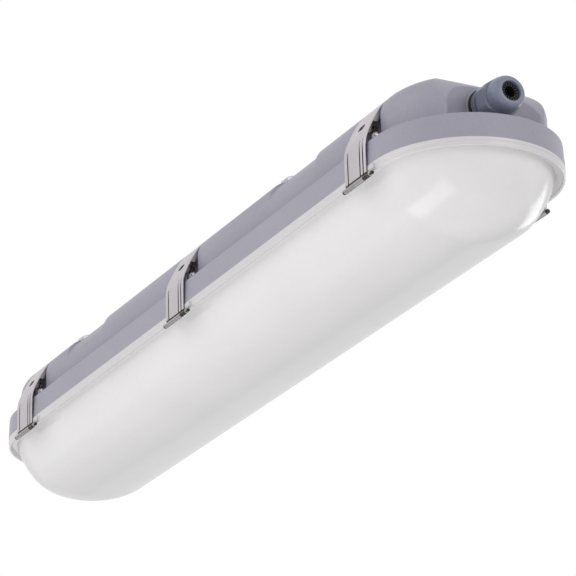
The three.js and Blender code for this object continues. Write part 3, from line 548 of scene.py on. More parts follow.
class Recipe:
    """Builds the nodes of one material or of the world.

    The Mix node keeps its colours in sockets of their own, after those for plain numbers.
    """

    low_socket, high_socket, mixed_socket = 6, 7, 2

    def __init__(self, tree: bpy.types.NodeTree) -> None:
        """Clears the tree."""
        self.tree = tree
        tree.nodes.clear()

    def node(self, kind: str, inputs: Inputs, **settings: object) -> bpy.types.Node:
        """Adds a node.

        Args:
            kind: The node's type.
            inputs: Values or links of its sockets, by name or number.
            settings: Its properties, which are set first.

        Returns:
            The node.
        """
        node = self.tree.nodes.new(kind)
        for key, value in settings.items():
            setattr(node, key, value)
        for key, value in inputs.items():
            socket = node.inputs[key]
            if isinstance(value, Signal | Socket):
                self.tree.links.new(value.socket if isinstance(value, Signal) else value, socket)
            elif socket.type == "RGBA":
                socket.default_value = (*value, 1)
            else:
                socket.default_value = value
        return node

    def place(self, stretch: Vector = Vector((1, 1, 1))) -> Socket:
        """The piece's own coordinates, stretched."""
        own = self.node("ShaderNodeTexCoord", {}).outputs["Object"]
        return self.node("ShaderNodeMapping", {"Vector": own, "Scale": stretch}).outputs["Vector"]

    def noise(self, size: float, detail: float = 3.0, stretch: Vector = Vector((1, 1, 1))) -> Signal:
        """Soft cloudy noise, with clouds of a size in metres."""
        inputs = {"Vector": self.place(stretch), "Scale": 1 / size, "Detail": detail}
        return Signal(self, self.node("ShaderNodeTexNoise", inputs).outputs[0])

    def cells(self, size: float) -> Signal:
        """Distance to the nearest of many scattered points, a size in metres apart."""
        inputs = {"Vector": self.place(), "Scale": 1 / size}
        return Signal(self, self.node("ShaderNodeTexVoronoi", inputs, feature="F1").outputs["Distance"])

    def painted(self, name: str) -> Signal:
        """A number that the mesh holds for each of its corners."""
        node = self.node("ShaderNodeAttribute", {}, attribute_type="GEOMETRY", attribute_name=name)
        return Signal(self, node.outputs["Fac"])

    def blend(self, share: Value, low: Colour | Socket, high: Colour) -> Socket:
        """A colour between two colours."""
        inputs = {0: share, self.low_socket: low, self.high_socket: high}
        return self.node("ShaderNodeMix", inputs, data_type="RGBA").outputs[self.mixed_socket]

    def bump(self, height: Signal, depth: float, strength: float = 1.0) -> Socket:
        """A normal from a height of 0 to 1, for a depth in metres."""
        return self.node("ShaderNodeBump", {"Height": height, "Distance": depth, "Strength": strength}).outputs[0]

    def surface(self, inputs: Inputs) -> None:
        """Closes the material with its main shader."""
        shader = self.node("ShaderNodeBsdfPrincipled", inputs)
        self.node("ShaderNodeOutputMaterial", {"Surface": shader.outputs[0]})


def new_material(name: str) -> tuple[Material, Recipe]:
    """An empty material and the recipe that fills it."""
    material = bpy.data.materials.new(name)
    material.use_nodes = True
    return material, Recipe(material.node_tree)


def shade(colour: Colour, amount: float) -> Colour:
    """A colour made lighter or darker."""
    return tuple(min(channel * amount, 1.0) for channel in colour)


def shades(colour: Colour, amounts: Place) -> list[Colour]:
    """A colour in a lighter or darker shade for each amount."""
    return [shade(colour, amount) for amount in amounts]


@dataclass(frozen=True)
class Finish:
    """One material, by its name and main colour."""

    name: str
    colour: Colour

    def inputs(self, recipe: Recipe) -> Inputs:
        """The inputs of the main shader, worked out by nodes of the recipe."""
        raise NotImplementedError

    def made(self) -> Material:
        """Builds the material."""
        material, recipe = new_material(self.name)
        recipe.surface(self.inputs(recipe))
        return material


@dataclass(frozen=True)
class MouldedPlastic(Finish):
    """Injection-moulded plastic with a fine spark-eroded grain."""

    roughness: float = 0.42
    variation: float = 0.05
    grain: float = 0.0006
    grain_depth: float = 0.00003
    flow: float = 0.11
    scuff: float = 0.02
    scuff_detail: int = 5
    scuff_range: Place = (0.6, 0.75)
    flow_share: float = 0.6
    flow_gloss: float = 0.1
    grain_gloss: float = 0.08
    scuff_gloss: float = 0.06
    specular: float = 0.4

    def inputs(self, recipe: Recipe) -> Inputs:
        """Cloudy tone, scuffed gloss and a grain in the normal."""
        clouds = recipe.noise(self.flow, 2)
        specks = recipe.noise(self.grain * 3, 2)
        grain = recipe.noise(self.grain, 2)
        tone = clouds.between() * self.flow_share + specks.between() * (1 - self.flow_share)
        tones = (1 - self.variation, 1 + self.variation)
        scuffs = recipe.noise(self.scuff, self.scuff_detail).between(*self.scuff_range)
        gloss = self.roughness + clouds.swing(self.flow_gloss) + grain.swing(self.grain_gloss)
        return {
            "Base Color": recipe.blend(tone, *shades(self.colour, tones)),
            "Roughness": gloss + scuffs * self.scuff_gloss,
            "Normal": recipe.bump(grain, self.grain_depth),
            "Specular IOR Level": self.specular,
        }


@dataclass(frozen=True)
class OpalPlastic(Finish):
    """Glossy milk-white diffuser with a faint mottle in its depth."""

    roughness: float = 0.2
    # painted light: a faint emission that lifts the shade on the bowl
    painted_glow: float = 0.045
    rim_shade: float = 0.42
    mottle: float = 0.06
    haze: float = 0.004
    ripple: float = 0.03
    ripple_depth: float = 0.0002
    ripple_strength: float = 0.35
    coat: float = 0.15
    coat_roughness: float = 0.1
    mottle_share: float = 0.7
    mottle_range: Place = (0.25, 0.75)
    haze_gloss: float = 0.08
    tones: Place = (0.975, 1.02)
    rim_range: Place = (0.35, 1.0)
    specular: float = 0.42

    def inputs(self, recipe: Recipe) -> Inputs:
        """Mottled tone that darkens towards the rim as painted shade, under a thin coat, with a faint painted glow."""
        clouds = recipe.noise(self.mottle, 3)
        haze = recipe.noise(self.haze, 3)
        ripple = recipe.noise(self.ripple, 1)
        tone = clouds.between(*self.mottle_range) * self.mottle_share + haze.between() * (1 - self.mottle_share)
        grazing = Signal(recipe, recipe.node("ShaderNodeLayerWeight", {"Blend": 0.5}).outputs["Facing"])
        body = recipe.blend(tone, *shades(self.colour, self.tones))
        return {
            # painted shade: darker towards the grazing edges
            "Base Color": recipe.blend(grazing.between(*self.rim_range) * self.rim_shade, body, (0, 0, 0)),
            "Roughness": self.roughness + haze.swing(self.haze_gloss),
            "Normal": recipe.bump(ripple, self.ripple_depth, self.ripple_strength),
            "Coat Weight": self.coat,
            "Specular IOR Level": self.specular,
            "Coat Roughness": self.coat_roughness,
            "Emission Color": self.colour,
            "Emission Strength": self.painted_glow,
        }


@dataclass(frozen=True)
class SatinSteel(Finish):
    """Stainless sheet with a fine brushed lay, and painted shade where the mesh is painted with it."""

    painted_shade_colour: Colour
    roughness: float = 0.34
    lay: Vector = Vector((1, 1, 0.04))
    painted_shade: str = ""
    brush: float = 0.0004
    brush_depth: float = 0.00002
    brush_range: Place = (0.2, 0.8)
    brush_gloss: float = 0.16
    stain: float = 0.012
    stain_gloss: float = 0.12
    tones: Place = (0.9, 1.06)
    metallic: float = 0.9
    painted_shade_dulls: float = 0.6
    painted_shade_roughens: float = 0.3

    def inputs(self, recipe: Recipe) -> Inputs:
        """Brushed tone and gloss, duller and darker under the painted shade."""
        brushed = recipe.noise(self.brush, 2, self.lay)
        clouds = recipe.noise(self.stain, 4)
        tone = brushed.between(*self.brush_range) * 0.5 + clouds.between() * 0.5
        inputs: Inputs = {
            "Base Color": recipe.blend(tone, *shades(self.colour, self.tones)),
            "Metallic": self.metallic,
            "Roughness": self.roughness + brushed.swing(self.brush_gloss) + clouds.swing(self.stain_gloss),
            "Normal": recipe.bump(brushed, self.brush_depth),
        }
        # Painted shade: the mesh's painted values darken and dull the steel where shade falls in creases, grooves,
        # under the roll and inside the folds.
        if self.painted_shade:
            painted_shade = recipe.painted(self.painted_shade)
            inputs["Base Color"] = recipe.blend(painted_shade, inputs["Base Color"], self.painted_shade_colour)
            inputs["Metallic"] = self.metallic - painted_shade * self.painted_shade_dulls
            inputs["Roughness"] = inputs["Roughness"] + painted_shade * self.painted_shade_roughens
        return inputs


@dataclass(frozen=True)
class DarkSteel(Finish):
    """Oiled dark wire and rod, lighter where it has rubbed."""

    rubbed: Colour
    roughness: float = 0.3
    rub: float = 0.003
    rub_detail: int = 5
    rub_range: Place = (0.52, 0.72)
    pit: float = 0.0005
    pit_depth: float = 0.00003
    metallic: float = 0.85
    gloss: float = 0.2

    def inputs(self, recipe: Recipe) -> Inputs:
        """Rubbed tone over a pitted surface."""
        rubs = recipe.noise(self.rub, self.rub_detail)
        pits = recipe.noise(self.pit, 2)
        return {
            "Base Color": recipe.blend(rubs.between(*self.rub_range), self.colour, self.rubbed),
            "Metallic": self.metallic,
            "Roughness": self.roughness + pits.swing(self.gloss) + rubs.swing(self.gloss),
            "Normal": recipe.bump(pits, self.pit_depth),
        }


@dataclass(frozen=True)
class Rubber(Finish):
    """Matt rubber or foam, with pores of a size."""

    pore: float = 0.0006
    roughness: float = 0.75
    bloom: float = 0.008
    bloom_range: Place = (0.35, 0.75)
    bloom_shade: float = 1.8
    bloom_gloss: float = 0.2
    pore_share: float = 0.125
    specular: float = 0.35

    def inputs(self, recipe: Recipe) -> Inputs:
        """Pale bloom over an open-pored surface."""
        pores = recipe.cells(self.pore)
        bloom = recipe.noise(self.bloom, 4)
        pale = shade(self.colour, self.bloom_shade)
        return {
            "Base Color": recipe.blend(bloom.between(*self.bloom_range), self.colour, pale),
            "Roughness": self.roughness + bloom.swing(self.bloom_gloss),
            "Normal": recipe.bump(pores, self.pore * self.pore_share),
            "Specular IOR Level": self.specular,
        }


@dataclass(frozen=True)
class PaintedSheet(Finish):
    """Powder coat with an orange-peel surface."""

    roughness: float = 0.4
    peel: float = 0.0018
    peel_depth: float = 0.00005
    cloud: float = 0.05
    cloud_shade: float = 0.94
    cloud_gloss: float = 0.12

    def inputs(self, recipe: Recipe) -> Inputs:
        """Soft clouds in the tone and gloss, and the peel in the normal."""
        peel = recipe.noise(self.peel, 1)
        clouds = recipe.noise(self.cloud, 3)
        return {
            "Base Color": recipe.blend(clouds.between(), shade(self.colour, self.cloud_shade), self.colour),
            "Roughness": self.roughness + clouds.swing(self.cloud_gloss),
            "Normal": recipe.bump(peel, self.peel_depth),
        }


def made_once(finish: Finish) -> Material:
    """A field that holds the material of a finish."""
    return field(default_factory=finish.made)


@dataclass(frozen=True)
class Finishes:
    """Every finish of the fixture, made once."""

    housing: Material = made_once(MouldedPlastic("grey_housing_plastic", (0.348, 0.34, 0.407)))
    opal: Material = made_once(OpalPlastic("opal_bowl_plastic", (0.785, 0.77, 0.776)))
    # A darker copy of the opal: painted shade for the skirt's faces.
    shaded_opal_skirt: Material = made_once(OpalPlastic("opal_skirt_painted_shade", (0.665, 0.648, 0.662), 0.36, 0.02, 0.1))
    strap: Material = made_once(
        SatinSteel("satin_strap_steel", (0.52, 0.488, 0.512), (0.034, 0.026, 0.021), painted_shade="painted_shade")
    )
    dark_steel: Material = made_once(DarkSteel("dark_wire_steel", (0.045, 0.036, 0.03), (0.2, 0.17, 0.15)))
    # Bright steel for the bail's pin heads, and a painted highlight on the hook rod's collar.
    bright_pin_and_highlight: Material = made_once(SatinSteel("bright_pin_steel", (0.62, 0.6, 0.58), (0.1, 0.08, 0.07), 0.18))
    ball_tip: Material = made_once(Rubber("black_ball_tip", (0.012, 0.011, 0.011), 0.0004, 0.4))
    zinc: Material = made_once(
        SatinSteel("zinc_plated_steel", (0.56, 0.57, 0.6), (0.1, 0.1, 0.1), 0.36, Vector((1, 1, 1)))
    )
    gland: Material = made_once(MouldedPlastic("gland_nylon", (0.214, 0.23, 0.304), 0.3, 0.06, 0.0008, 0.00004, 0.02))
    gland_rubber: Material = made_once(Rubber("gland_seal_rubber", (0.014, 0.014, 0.016), 0.0008, 0.6))
    foam: Material = made_once(Rubber("gasket_foam", (0.02, 0.02, 0.021), 0.0012, 0.9))
    white_paint: Material = made_once(PaintedSheet("white_tray_paint", (0.8, 0.8, 0.78)))
    board: Material = made_once(PaintedSheet("white_board_mask", (0.84, 0.84, 0.81), 0.3))
    driver: Material = made_once(MouldedPlastic("driver_case_plastic", (0.68, 0.68, 0.66), 0.5, 0.03))
    terminal: Material = made_once(MouldedPlastic("terminal_plastic", (0.66, 0.58, 0.44), 0.45, 0.04))


# Housing


@dataclass
class Housing:
    """Moulded shell with six latch saddles, two roof recesses, the gland bay and its lugs."""

    plan: Plan
    wall: float = 0.0025
    rim_wall: float = 0.0026
    band_draft: float = 0.0008
    band_round: float = 0.0009
    foot_fillet: float = 0.0012
    band_steps: int = 5
    shoulder_steps: int = 16
    saddle_half: float = 0.0147
    saddle_ramp: float = 0.0017
    saddle_depth: float = 0.0045
    saddle_fade: float = math.radians(30)
    recess_half: float = 0.031
    recess_ramp: float = 0.0017
    recess_depth: float = 0.0019
    recess_fade: float = math.radians(30)
    recess_runs: Place = (0.082, 0.100)
    ramp_shares: tuple[float, ...] = (0, 0.15, 0.35, 0.65, 0.85, 1)
    scoop_radius: float = 0.054
    scoop_beyond: float = 0.020
    scoop_steps: int = 24
    bay_edge_radius: float = 0.003
    bay_edge_steps: int = 14
    bay_top_steps: int = 18
    bay_top_radius: float = 0.0436
    bay_top_before: float = 0.0634
    bay_top_drop: float = 0.0346
    bay_top_angle: float = math.radians(60)
    bay_soft: float = 0.0005
    bay_sharp: float = math.radians(28)
    seat_radius: float = 0.014
    seat_rise: float = 0.002
    seat_steps: int = 64
    hole_radius: float = 0.01015
    lug_radius: float = 0.0021
    lug_start: float = 0.0136
    lug_thickness: float = 0.003
    lug_steps: int = 14
    lug_bore: float = 0.0014
    lug_soft: float = 0.0004
    bore_steps: int = 16
    pillar_radius: float = 0.004
    pillar_steps: int = 32
    pillar_bore: float = 0.0018
    pillar_end_gap: float = 0.0525
    pillar_wall_gap: float = 0.0212
    pillar_foot: float = 0.0093
    pillar_bore_depth: float = 0.016
    bracket_width: float = 0.009

    def recess_middles(self) -> list[float]:
        """Middles of the two roof recesses, from the end latches."""
        left, _, right = self.plan.latch_middles
        return [left + self.recess_runs[0], right - self.recess_runs[1]]

    def stops(self) -> list[float]:
        """Rows of corners through the ramps of every saddle and recess."""
        ramps = [(middle, self.saddle_half, self.saddle_ramp) for middle in self.plan.latch_middles]
        ramps += [(middle, self.recess_half, self.recess_ramp) for middle in self.recess_middles()]
        reaches = [(middle, half - ramp * share) for middle, half, ramp in ramps for share in self.ramp_shares]
        return [middle + end * reach for middle, reach in reaches for end in (-1, 1)]

    def depth_at(self, along: float, angle: float) -> float:
        """How deep the saddles and recesses are at a place along the side and round the shoulder."""
        if abs(along) > self.plan.spine_half - WELD:
            return 0.0
        share = max(eased((self.saddle_half - abs(along - m)) / self.saddle_ramp) for m in self.plan.latch_middles)
        saddle = self.saddle_depth * share * min((QUARTER - angle) / self.saddle_fade, 1)
        share = max(eased((self.recess_half - abs(along - m)) / self.recess_ramp) for m in self.recess_middles())
        recess = self.recess_depth * share * min(angle / self.recess_fade, 1)
        return max(saddle, recess, 0.0)

    def dipped(self, piece: Piece, foot: float, wall_out: float) -> Piece:
        """Presses the saddles and recesses into a swept body.

        Args:
            piece: The swept body.
            foot: Height of the foot of its wall.
            wall_out: How far out its wall and foot reach.

        Returns:
            The same piece.
        """
        plan = self.plan
        out_centre, height_centre = plan.shoulder_centre
        deepest = self.saddle_depth
        groups = {key: piece.vertex_groups.new(name=key) for key in ("shoulder", "near_wall", "far_wall")}
        for corner in piece.data.vertices:
            out, height = abs(corner.co.y), corner.co.z - plan.parting
            if out > wall_out + WELD or height < foot - WELD:
                continue
            if height > height_centre + WELD:
                angle = math.atan2(height - height_centre, max(out - out_centre, 0))
                groups["shoulder"].add([corner.index], self.depth_at(corner.co.x, angle) / deepest, "REPLACE")
            elif out > out_centre:
                side = "near_wall" if corner.co.y < 0 else "far_wall"
                groups[side].add([corner.index], self.depth_at(corner.co.x, 0) / deepest, "REPLACE")
        presses = (("shoulder", "NORMAL", -deepest), ("near_wall", "Y", deepest), ("far_wall", "Y", -deepest))
        for key, direction, strength in presses:
            finished_by(piece, "DISPLACE", vertex_group=key, direction=direction, strength=strength, mid_level=0)
        piece.vertex_groups.clear()
        return piece

    def body_profile(self, inset: float) -> list[Place]:
        """Roof and shoulder from the spine down to the start of the wall."""
        centre = self.plan.shoulder_centre
        radius = self.plan.shoulder_radius - inset
        return [(0.0, self.plan.body_height - inset), *arc(centre, radius, QUARTER, 0, self.shoulder_steps)]

    def outside(self) -> Piece:
        """The filled outside form, with its saddles and recesses."""
        plan = self.plan
        foot = (plan.body_radius + self.foot_fillet, plan.band_height + self.foot_fillet)
        band_out = plan.rim_radius - self.band_draft
        band_edge = (band_out - self.band_round, plan.band_height - self.band_round)
        fillet = arc(foot, self.foot_fillet, math.pi, 3 * QUARTER, self.band_steps)
        band = arc(band_edge, self.band_round, QUARTER, 0, self.band_steps)
        profile = [*self.body_profile(0), *fillet, *band, (plan.rim_radius, 0.0), (0.0, 0.0)]
        piece = plan.swept("housing_shell", profile, self.stops())
        return self.dipped(piece, plan.band_height, foot[0])

    def inside(self) -> Piece:
        """The filled form of the cavity."""
        plan = self.plan
        under_ledge = plan.band_height - self.wall
        rim_inside = plan.rim_radius - self.rim_wall
        wall_out = plan.body_radius - self.wall
        ledge = [(wall_out, under_ledge), (rim_inside, under_ledge), (rim_inside, -OVERRUN), (0.0, -OVERRUN)]
        piece = plan.swept("cavity", [*self.body_profile(self.wall), *ledge], self.stops())
        return self.dipped(piece, under_ledge, wall_out)

    @property
    def scoop_middle(self) -> float:
        """Middle of the bay's scoop along the fixture."""
        return self.plan.spine_half + self.plan.rim_radius + self.scoop_beyond

    @property
    def scoop_wall(self) -> float:
        """Where the scoop's wall crosses the spine."""
        return self.scoop_middle - self.scoop_radius

    def bay(self, inset: float, foot: float) -> Piece:
        """What the gland bay takes away, grown into the body.

        Args:
            inset: How far it is grown.
            foot: Its floor.

        Returns:
            The closed tool.
        """
        plan = self.plan
        far_out = 2 * plan.rim_radius
        span = self.scoop_middle - plan.spine_half
        to_scoop, to_spine = self.scoop_radius + self.bay_edge_radius, plan.body_radius - self.bay_edge_radius
        along = (to_spine**2 - to_scoop**2 + span**2) / (2 * span)
        aside = math.sqrt(to_spine**2 - along**2)
        scoop_turn, spine_turn = math.atan2(aside, span - along), math.atan2(aside, along)
        middle, corner = (self.scoop_middle, 0), (plan.spine_half + along, aside)
        scoop = arc(middle, self.scoop_radius + inset, math.pi, math.pi - scoop_turn, self.scoop_steps)
        edge = arc(corner, self.bay_edge_radius - inset, -scoop_turn, spine_turn, self.bay_edge_steps)
        past = (plan.spine_half + far_out * math.cos(spine_turn), far_out * math.sin(spine_turn))
        half = [*scoop[:-1], *edge, past, (self.scoop_middle + far_out, past[1])]
        plan_outline = half + [(x, -y) for x, y in half[:0:-1]]
        floor, top = plan.parting + foot, plan.parting + plan.body_height + OVERRUN
        piece = extruded("bay", plan_outline, "Z", floor, top - floor)
        top_middle = (
            plan.spine_half + plan.rim_radius - self.bay_top_before, plan.parting + plan.body_height - self.bay_top_drop
        )
        round_off = arc(top_middle, self.bay_top_radius - inset, 0, self.bay_top_angle, self.bay_top_steps)
        beyond = self.scoop_middle + far_out
        outline = [(round_off[0][0], floor), *round_off, (beyond, round_off[-1][1]), (beyond, floor)]
        return combined(piece, extruded("bay_top", outline, "Y", -far_out, 2 * far_out), Join.ADD)

    def softened(self, piece: Piece) -> Piece:
        """Rounds the edges of the bay, which are chosen by their place and sharpness."""
        plan = self.plan
        floor = plan.parting + plan.band_height
        start = self.scoop_wall - plan.body_radius / 2
        with editing(piece, "EDGE"):
            bpy.ops.mesh.select_all(action="DESELECT")
            bpy.ops.mesh.edges_select_sharp(sharpness=self.bay_sharp)
        corners = piece.data.vertices
        for edge in piece.data.edges:
            ends = [corners[index].co for index in edge.vertices]
            edge.select &= all(end.x > start and end.z > floor + self.bay_soft for end in ends)
        for other in (*corners, *piece.data.polygons):
            other.select = False
        only(piece)
        bpy.ops.object.mode_set(mode="EDIT")
        bpy.ops.mesh.bevel(offset=self.bay_soft, segments=4, profile=0.5, clamp_overlap=True)
        bpy.ops.object.mode_set(mode="OBJECT")
        return piece

    def lugs(self) -> list[Piece]:
        """The bored lugs of the six latches."""
        plan = self.plan
        out, rise = plan.lug_pivot
        height = plan.parting + rise
        foot = plan.parting + plan.band_height - CLEARANCE
        head = arc((out, height), self.lug_radius, 0, math.pi, self.lug_steps)
        outline = [(out - self.lug_radius, foot), (out + self.lug_radius, foot), *head[:-1]]
        bore = circle((out, height), self.lug_bore, self.bore_steps)
        model = bevelled(extruded("lug", outline, "X", self.lug_start, self.lug_thickness), self.lug_soft, 2)
        cut = extruded("lug_bore", bore, "X", self.lug_start - OVERRUN, self.lug_thickness + 2 * OVERRUN)
        combined(model, cut, Join.TAKE)
        across = Matrix.Translation((-2 * self.lug_start - self.lug_thickness, 0, 0))
        turns = plan.latch_turns().values()
        return copies_of(model, "lug", (place for turn in turns for place in (turn, turn @ across)))

    def pillars(self) -> list[Piece]:
        """The bored pillars under the roof that carry the gear tray."""
        plan = self.plan
        foot = plan.parting + self.pillar_foot
        top = plan.parting + plan.body_height - self.recess_depth - CLEARANCE
        rim = circle((0, 0), self.pillar_radius, self.pillar_steps)
        hole = circle((0, 0), self.pillar_bore, self.bore_steps)
        model = extruded("pillar", rim, "Z", foot, top - foot)
        cut = extruded("pillar_bore", hole, "Z", foot - OVERRUN, self.pillar_bore_depth + OVERRUN)
        combined(model, cut, Join.TAKE)
        out_x, out_y = plan.spine_half - self.pillar_end_gap, plan.body_radius - self.pillar_wall_gap
        places = [Matrix.Translation((x, y, 0)) for x in (-out_x, out_x) for y in (-out_y, out_y)]
        return copies_of(model, "pillar", places)

    def seat(self) -> Piece:
        """The round boss that the gland's washer sits on."""
        plan = self.plan
        start, end = self.scoop_wall - self.wall, self.scoop_wall + self.seat_rise
        edge = (end - self.band_round, self.seat_radius - self.band_round)
        profile = [(start, 0), (start, self.seat_radius), *arc(edge, self.band_round, QUARTER, 0, 4), (end, 0)]
        return turned("gland_seat", profile, self.seat_steps, plan.gland_axis)

    def pockets(self) -> list[Piece]:
        """The blind pockets that take the brackets' lips."""
        plan = self.plan
        edge = CLEARANCE / plan.shoulder_radius
        low, high = plan.lip_angle - edge, plan.lip_angle + plan.lip_thickness / plan.shoulder_radius + edge
        floor = -self.recess_depth - plan.lip_depth
        outline = [plan.shoulder(low, floor), plan.shoulder(low), plan.shoulder(high), plan.shoulder(high, floor)]
        width = self.bracket_width + 2 * CLEARANCE
        tools = []
        for number in (1, 2):
            start = (sum(span_of(f"ceiling_bracket_{number}")) - width) / 2
            for side in (-1, 1):
                corners = [(side * out, plan.parting + height) for out, height in outline]
                tools.append(extruded("pocket", corners, "X", start, width))
        return tools

    def built(self) -> Piece:
        """Models the whole housing.

        Returns:
            The shell, whose mesh isn't closed round the gland's seat and bore.
        """
        plan = self.plan
        shell = self.outside()
        combined(shell, self.bay(0, plan.band_height), Join.TAKE)
        self.softened(shell)
        cavity = combined(self.inside(), self.bay(self.wall, plan.band_height - self.wall), Join.TAKE)
        combined(shell, cavity, Join.TAKE)
        combined(shell, joined("additions", [*self.lugs(), *self.pillars(), self.seat()]), Join.ADD)
        run = (self.scoop_wall - self.wall - OVERRUN, self.scoop_wall + self.seat_rise + OVERRUN)
        hole = round_bar("gland_hole", run, self.hole_radius, self.seat_steps, plan.gland_axis)
        combined(shell, joined("removals", [hole, *self.pockets()]), Join.TAKE)
        return smoothed(shell)

    def dressed(self, finishes: Finishes) -> Piece:
        """Builds the housing and gives it its finish."""
        shell = self.built()
        return fitted(shell, finishes.housing, "fixture", "housing_grey", "housing")


# Opal bowl


@dataclass
class OpalBowl:
    """Diffuser with its flange, the tongue that presses the gasket, and the catch blocks."""

    plan: Plan
    parting_gap: float = 0.00005
    skirt_depth: float = 0.0053
    skirt_thickness: float = 0.0018
    skirt_soft: float = 0.0008
    skirt_steps: int = 5
    bead_depth: float = 0.0018
    bead_step: float = 0.00035
    groove_top: float = 0.0025
    groove_reach: float = 0.0007
    wall: float = 0.002
    tongue_inset: float = 0.0045
    tongue_thickness: float = 0.003
    tongue_top: float = 0.0088
    foot_inset: float = 0.006
    foot_pull: float = 0.01275
    foot_steps: int = 10
    corner_inset: float = 0.0528
    corner_drop: float = 0.0106
    corner_reach: float = 0.0405
    corner_height: float = 0.0303
    corner_start: float = math.radians(28.6)
    corner_end: float = math.radians(62.2)
    corner_steps: int = 16
    crown_steps: int = 8
    block_start: float = 0.0134
    block_length: float = 0.0066
    block_out: float = 0.0008
    block_top: float = 0.001
    block_height: float = 0.0038
    block_round: float = 0.0006

    def bowl_line(self) -> list[Place]:
        """The bowl's outside from the crown's lowest place up to the flange."""
        centre_out = self.plan.rim_radius - self.corner_inset

        def corner(turn: float) -> Place:
            """A place on the elliptical corner."""
            out = centre_out + self.corner_reach * math.cos(turn)
            return out, -self.corner_drop - self.corner_height * math.sin(turn)

        out, edge = corner(self.corner_end)
        drop = out * self.corner_height / self.corner_reach / math.tan(self.corner_end) / 2
        shares = [i / self.crown_steps for i in range(self.crown_steps)]
        crown = [(out * share, edge - drop * (1 - share * share)) for share in shares]
        sweep = self.corner_start - self.corner_end
        turns = [self.corner_end + sweep * i / self.corner_steps for i in range(self.corner_steps + 1)]
        line = [*crown, *map(corner, turns)]
        before, last = Vector(line[-2]), Vector(line[-1])
        pull = last + (last - before).normalized() * self.foot_pull
        foot = Vector((self.plan.rim_radius - self.foot_inset, -self.groove_top))
        for i in range(1, self.foot_steps + 1):
            share = i / self.foot_steps
            place = last * (1 - share) ** 2 + pull * (2 * share * (1 - share)) + foot * share**2
            line.append((place.x, place.y))
        return line

    def profile(self) -> list[Place]:
        """The bowl's whole section, from the crown outside to the crown inside."""
        plan = self.plan
        rim, top = plan.rim_radius, -self.parting_gap
        line = self.bowl_line()
        soft = self.skirt_soft
        skirt_in, skirt_out = rim - self.skirt_thickness, rim - self.bead_step
        hollow = (line[-2], line[-1], (skirt_in, -self.groove_top), (skirt_in, soft - self.skirt_depth))
        groove = [tuple(place) for place in rounded([Vector(place) for place in hollow], self.groove_reach, 4)[1:]]
        lip = [
            *arc((skirt_in + soft, soft - self.skirt_depth), soft, math.pi, 3 * QUARTER, self.skirt_steps)[1:],
            *arc((skirt_out - soft, soft - self.skirt_depth), soft, -QUARTER, 0, self.skirt_steps),
        ]
        bead = [(skirt_out, -self.bead_depth - self.bead_step), (rim, -self.bead_depth), (rim, top)]
        tongue_out = rim - self.tongue_inset
        tongue_in = tongue_out - self.tongue_thickness
        tongue = [(tongue_out, top), (tongue_out, self.tongue_top), (tongue_in, self.tongue_top)]
        inside = moved(line, -self.wall)
        return [*line[:-1], *groove, *lip, *bead, *tongue, *inside[:0:-1], (0.0, inside[0][1])]

    def blocks(self) -> list[Piece]:
        """The soft-edged catch blocks beside the six latches."""
        plan = self.plan
        inner, outer = plan.rim_radius - self.skirt_thickness / 2, plan.rim_radius + self.block_out
        low, high = -self.block_top - self.block_height, -self.block_top
        outline = [(inner, low), (outer, low), (outer, high), (inner, high)]
        start = -self.block_start - self.block_length
        corners = [(out, plan.parting + height) for out, height in outline]
        model = bevelled(extruded("block", corners, "X", start, self.block_length), self.block_round, 4)
        return copies_of(model, "block", plan.latch_turns().values())

    def dressed(self, finishes: Finishes) -> Piece:
        """Builds the bowl and gives it its finish."""
        bowl = self.plan.swept("opal_bowl", self.profile())
        bowl.data.materials.append(finishes.opal)
        combined(bowl, joined("blocks", self.blocks()), Join.ADD)
        # Painted shade: the skirt's faces take the darker copy of the opal.
        bowl.data.materials.append(finishes.shaded_opal_skirt)
        spine, rim = self.plan.spine_half, self.plan.rim_radius
        for face in bowl.data.polygons:
            middle = face.center
            out = math.hypot(max(abs(middle.x) - spine, 0.0), middle.y)
            if out > rim - self.skirt_soft and middle.z < self.plan.parting:
                face.material_index = 1
        return fitted(smoothed(bowl), finishes.opal, "fixture", "opal_plastic", "diffuser")


# Toggle latches


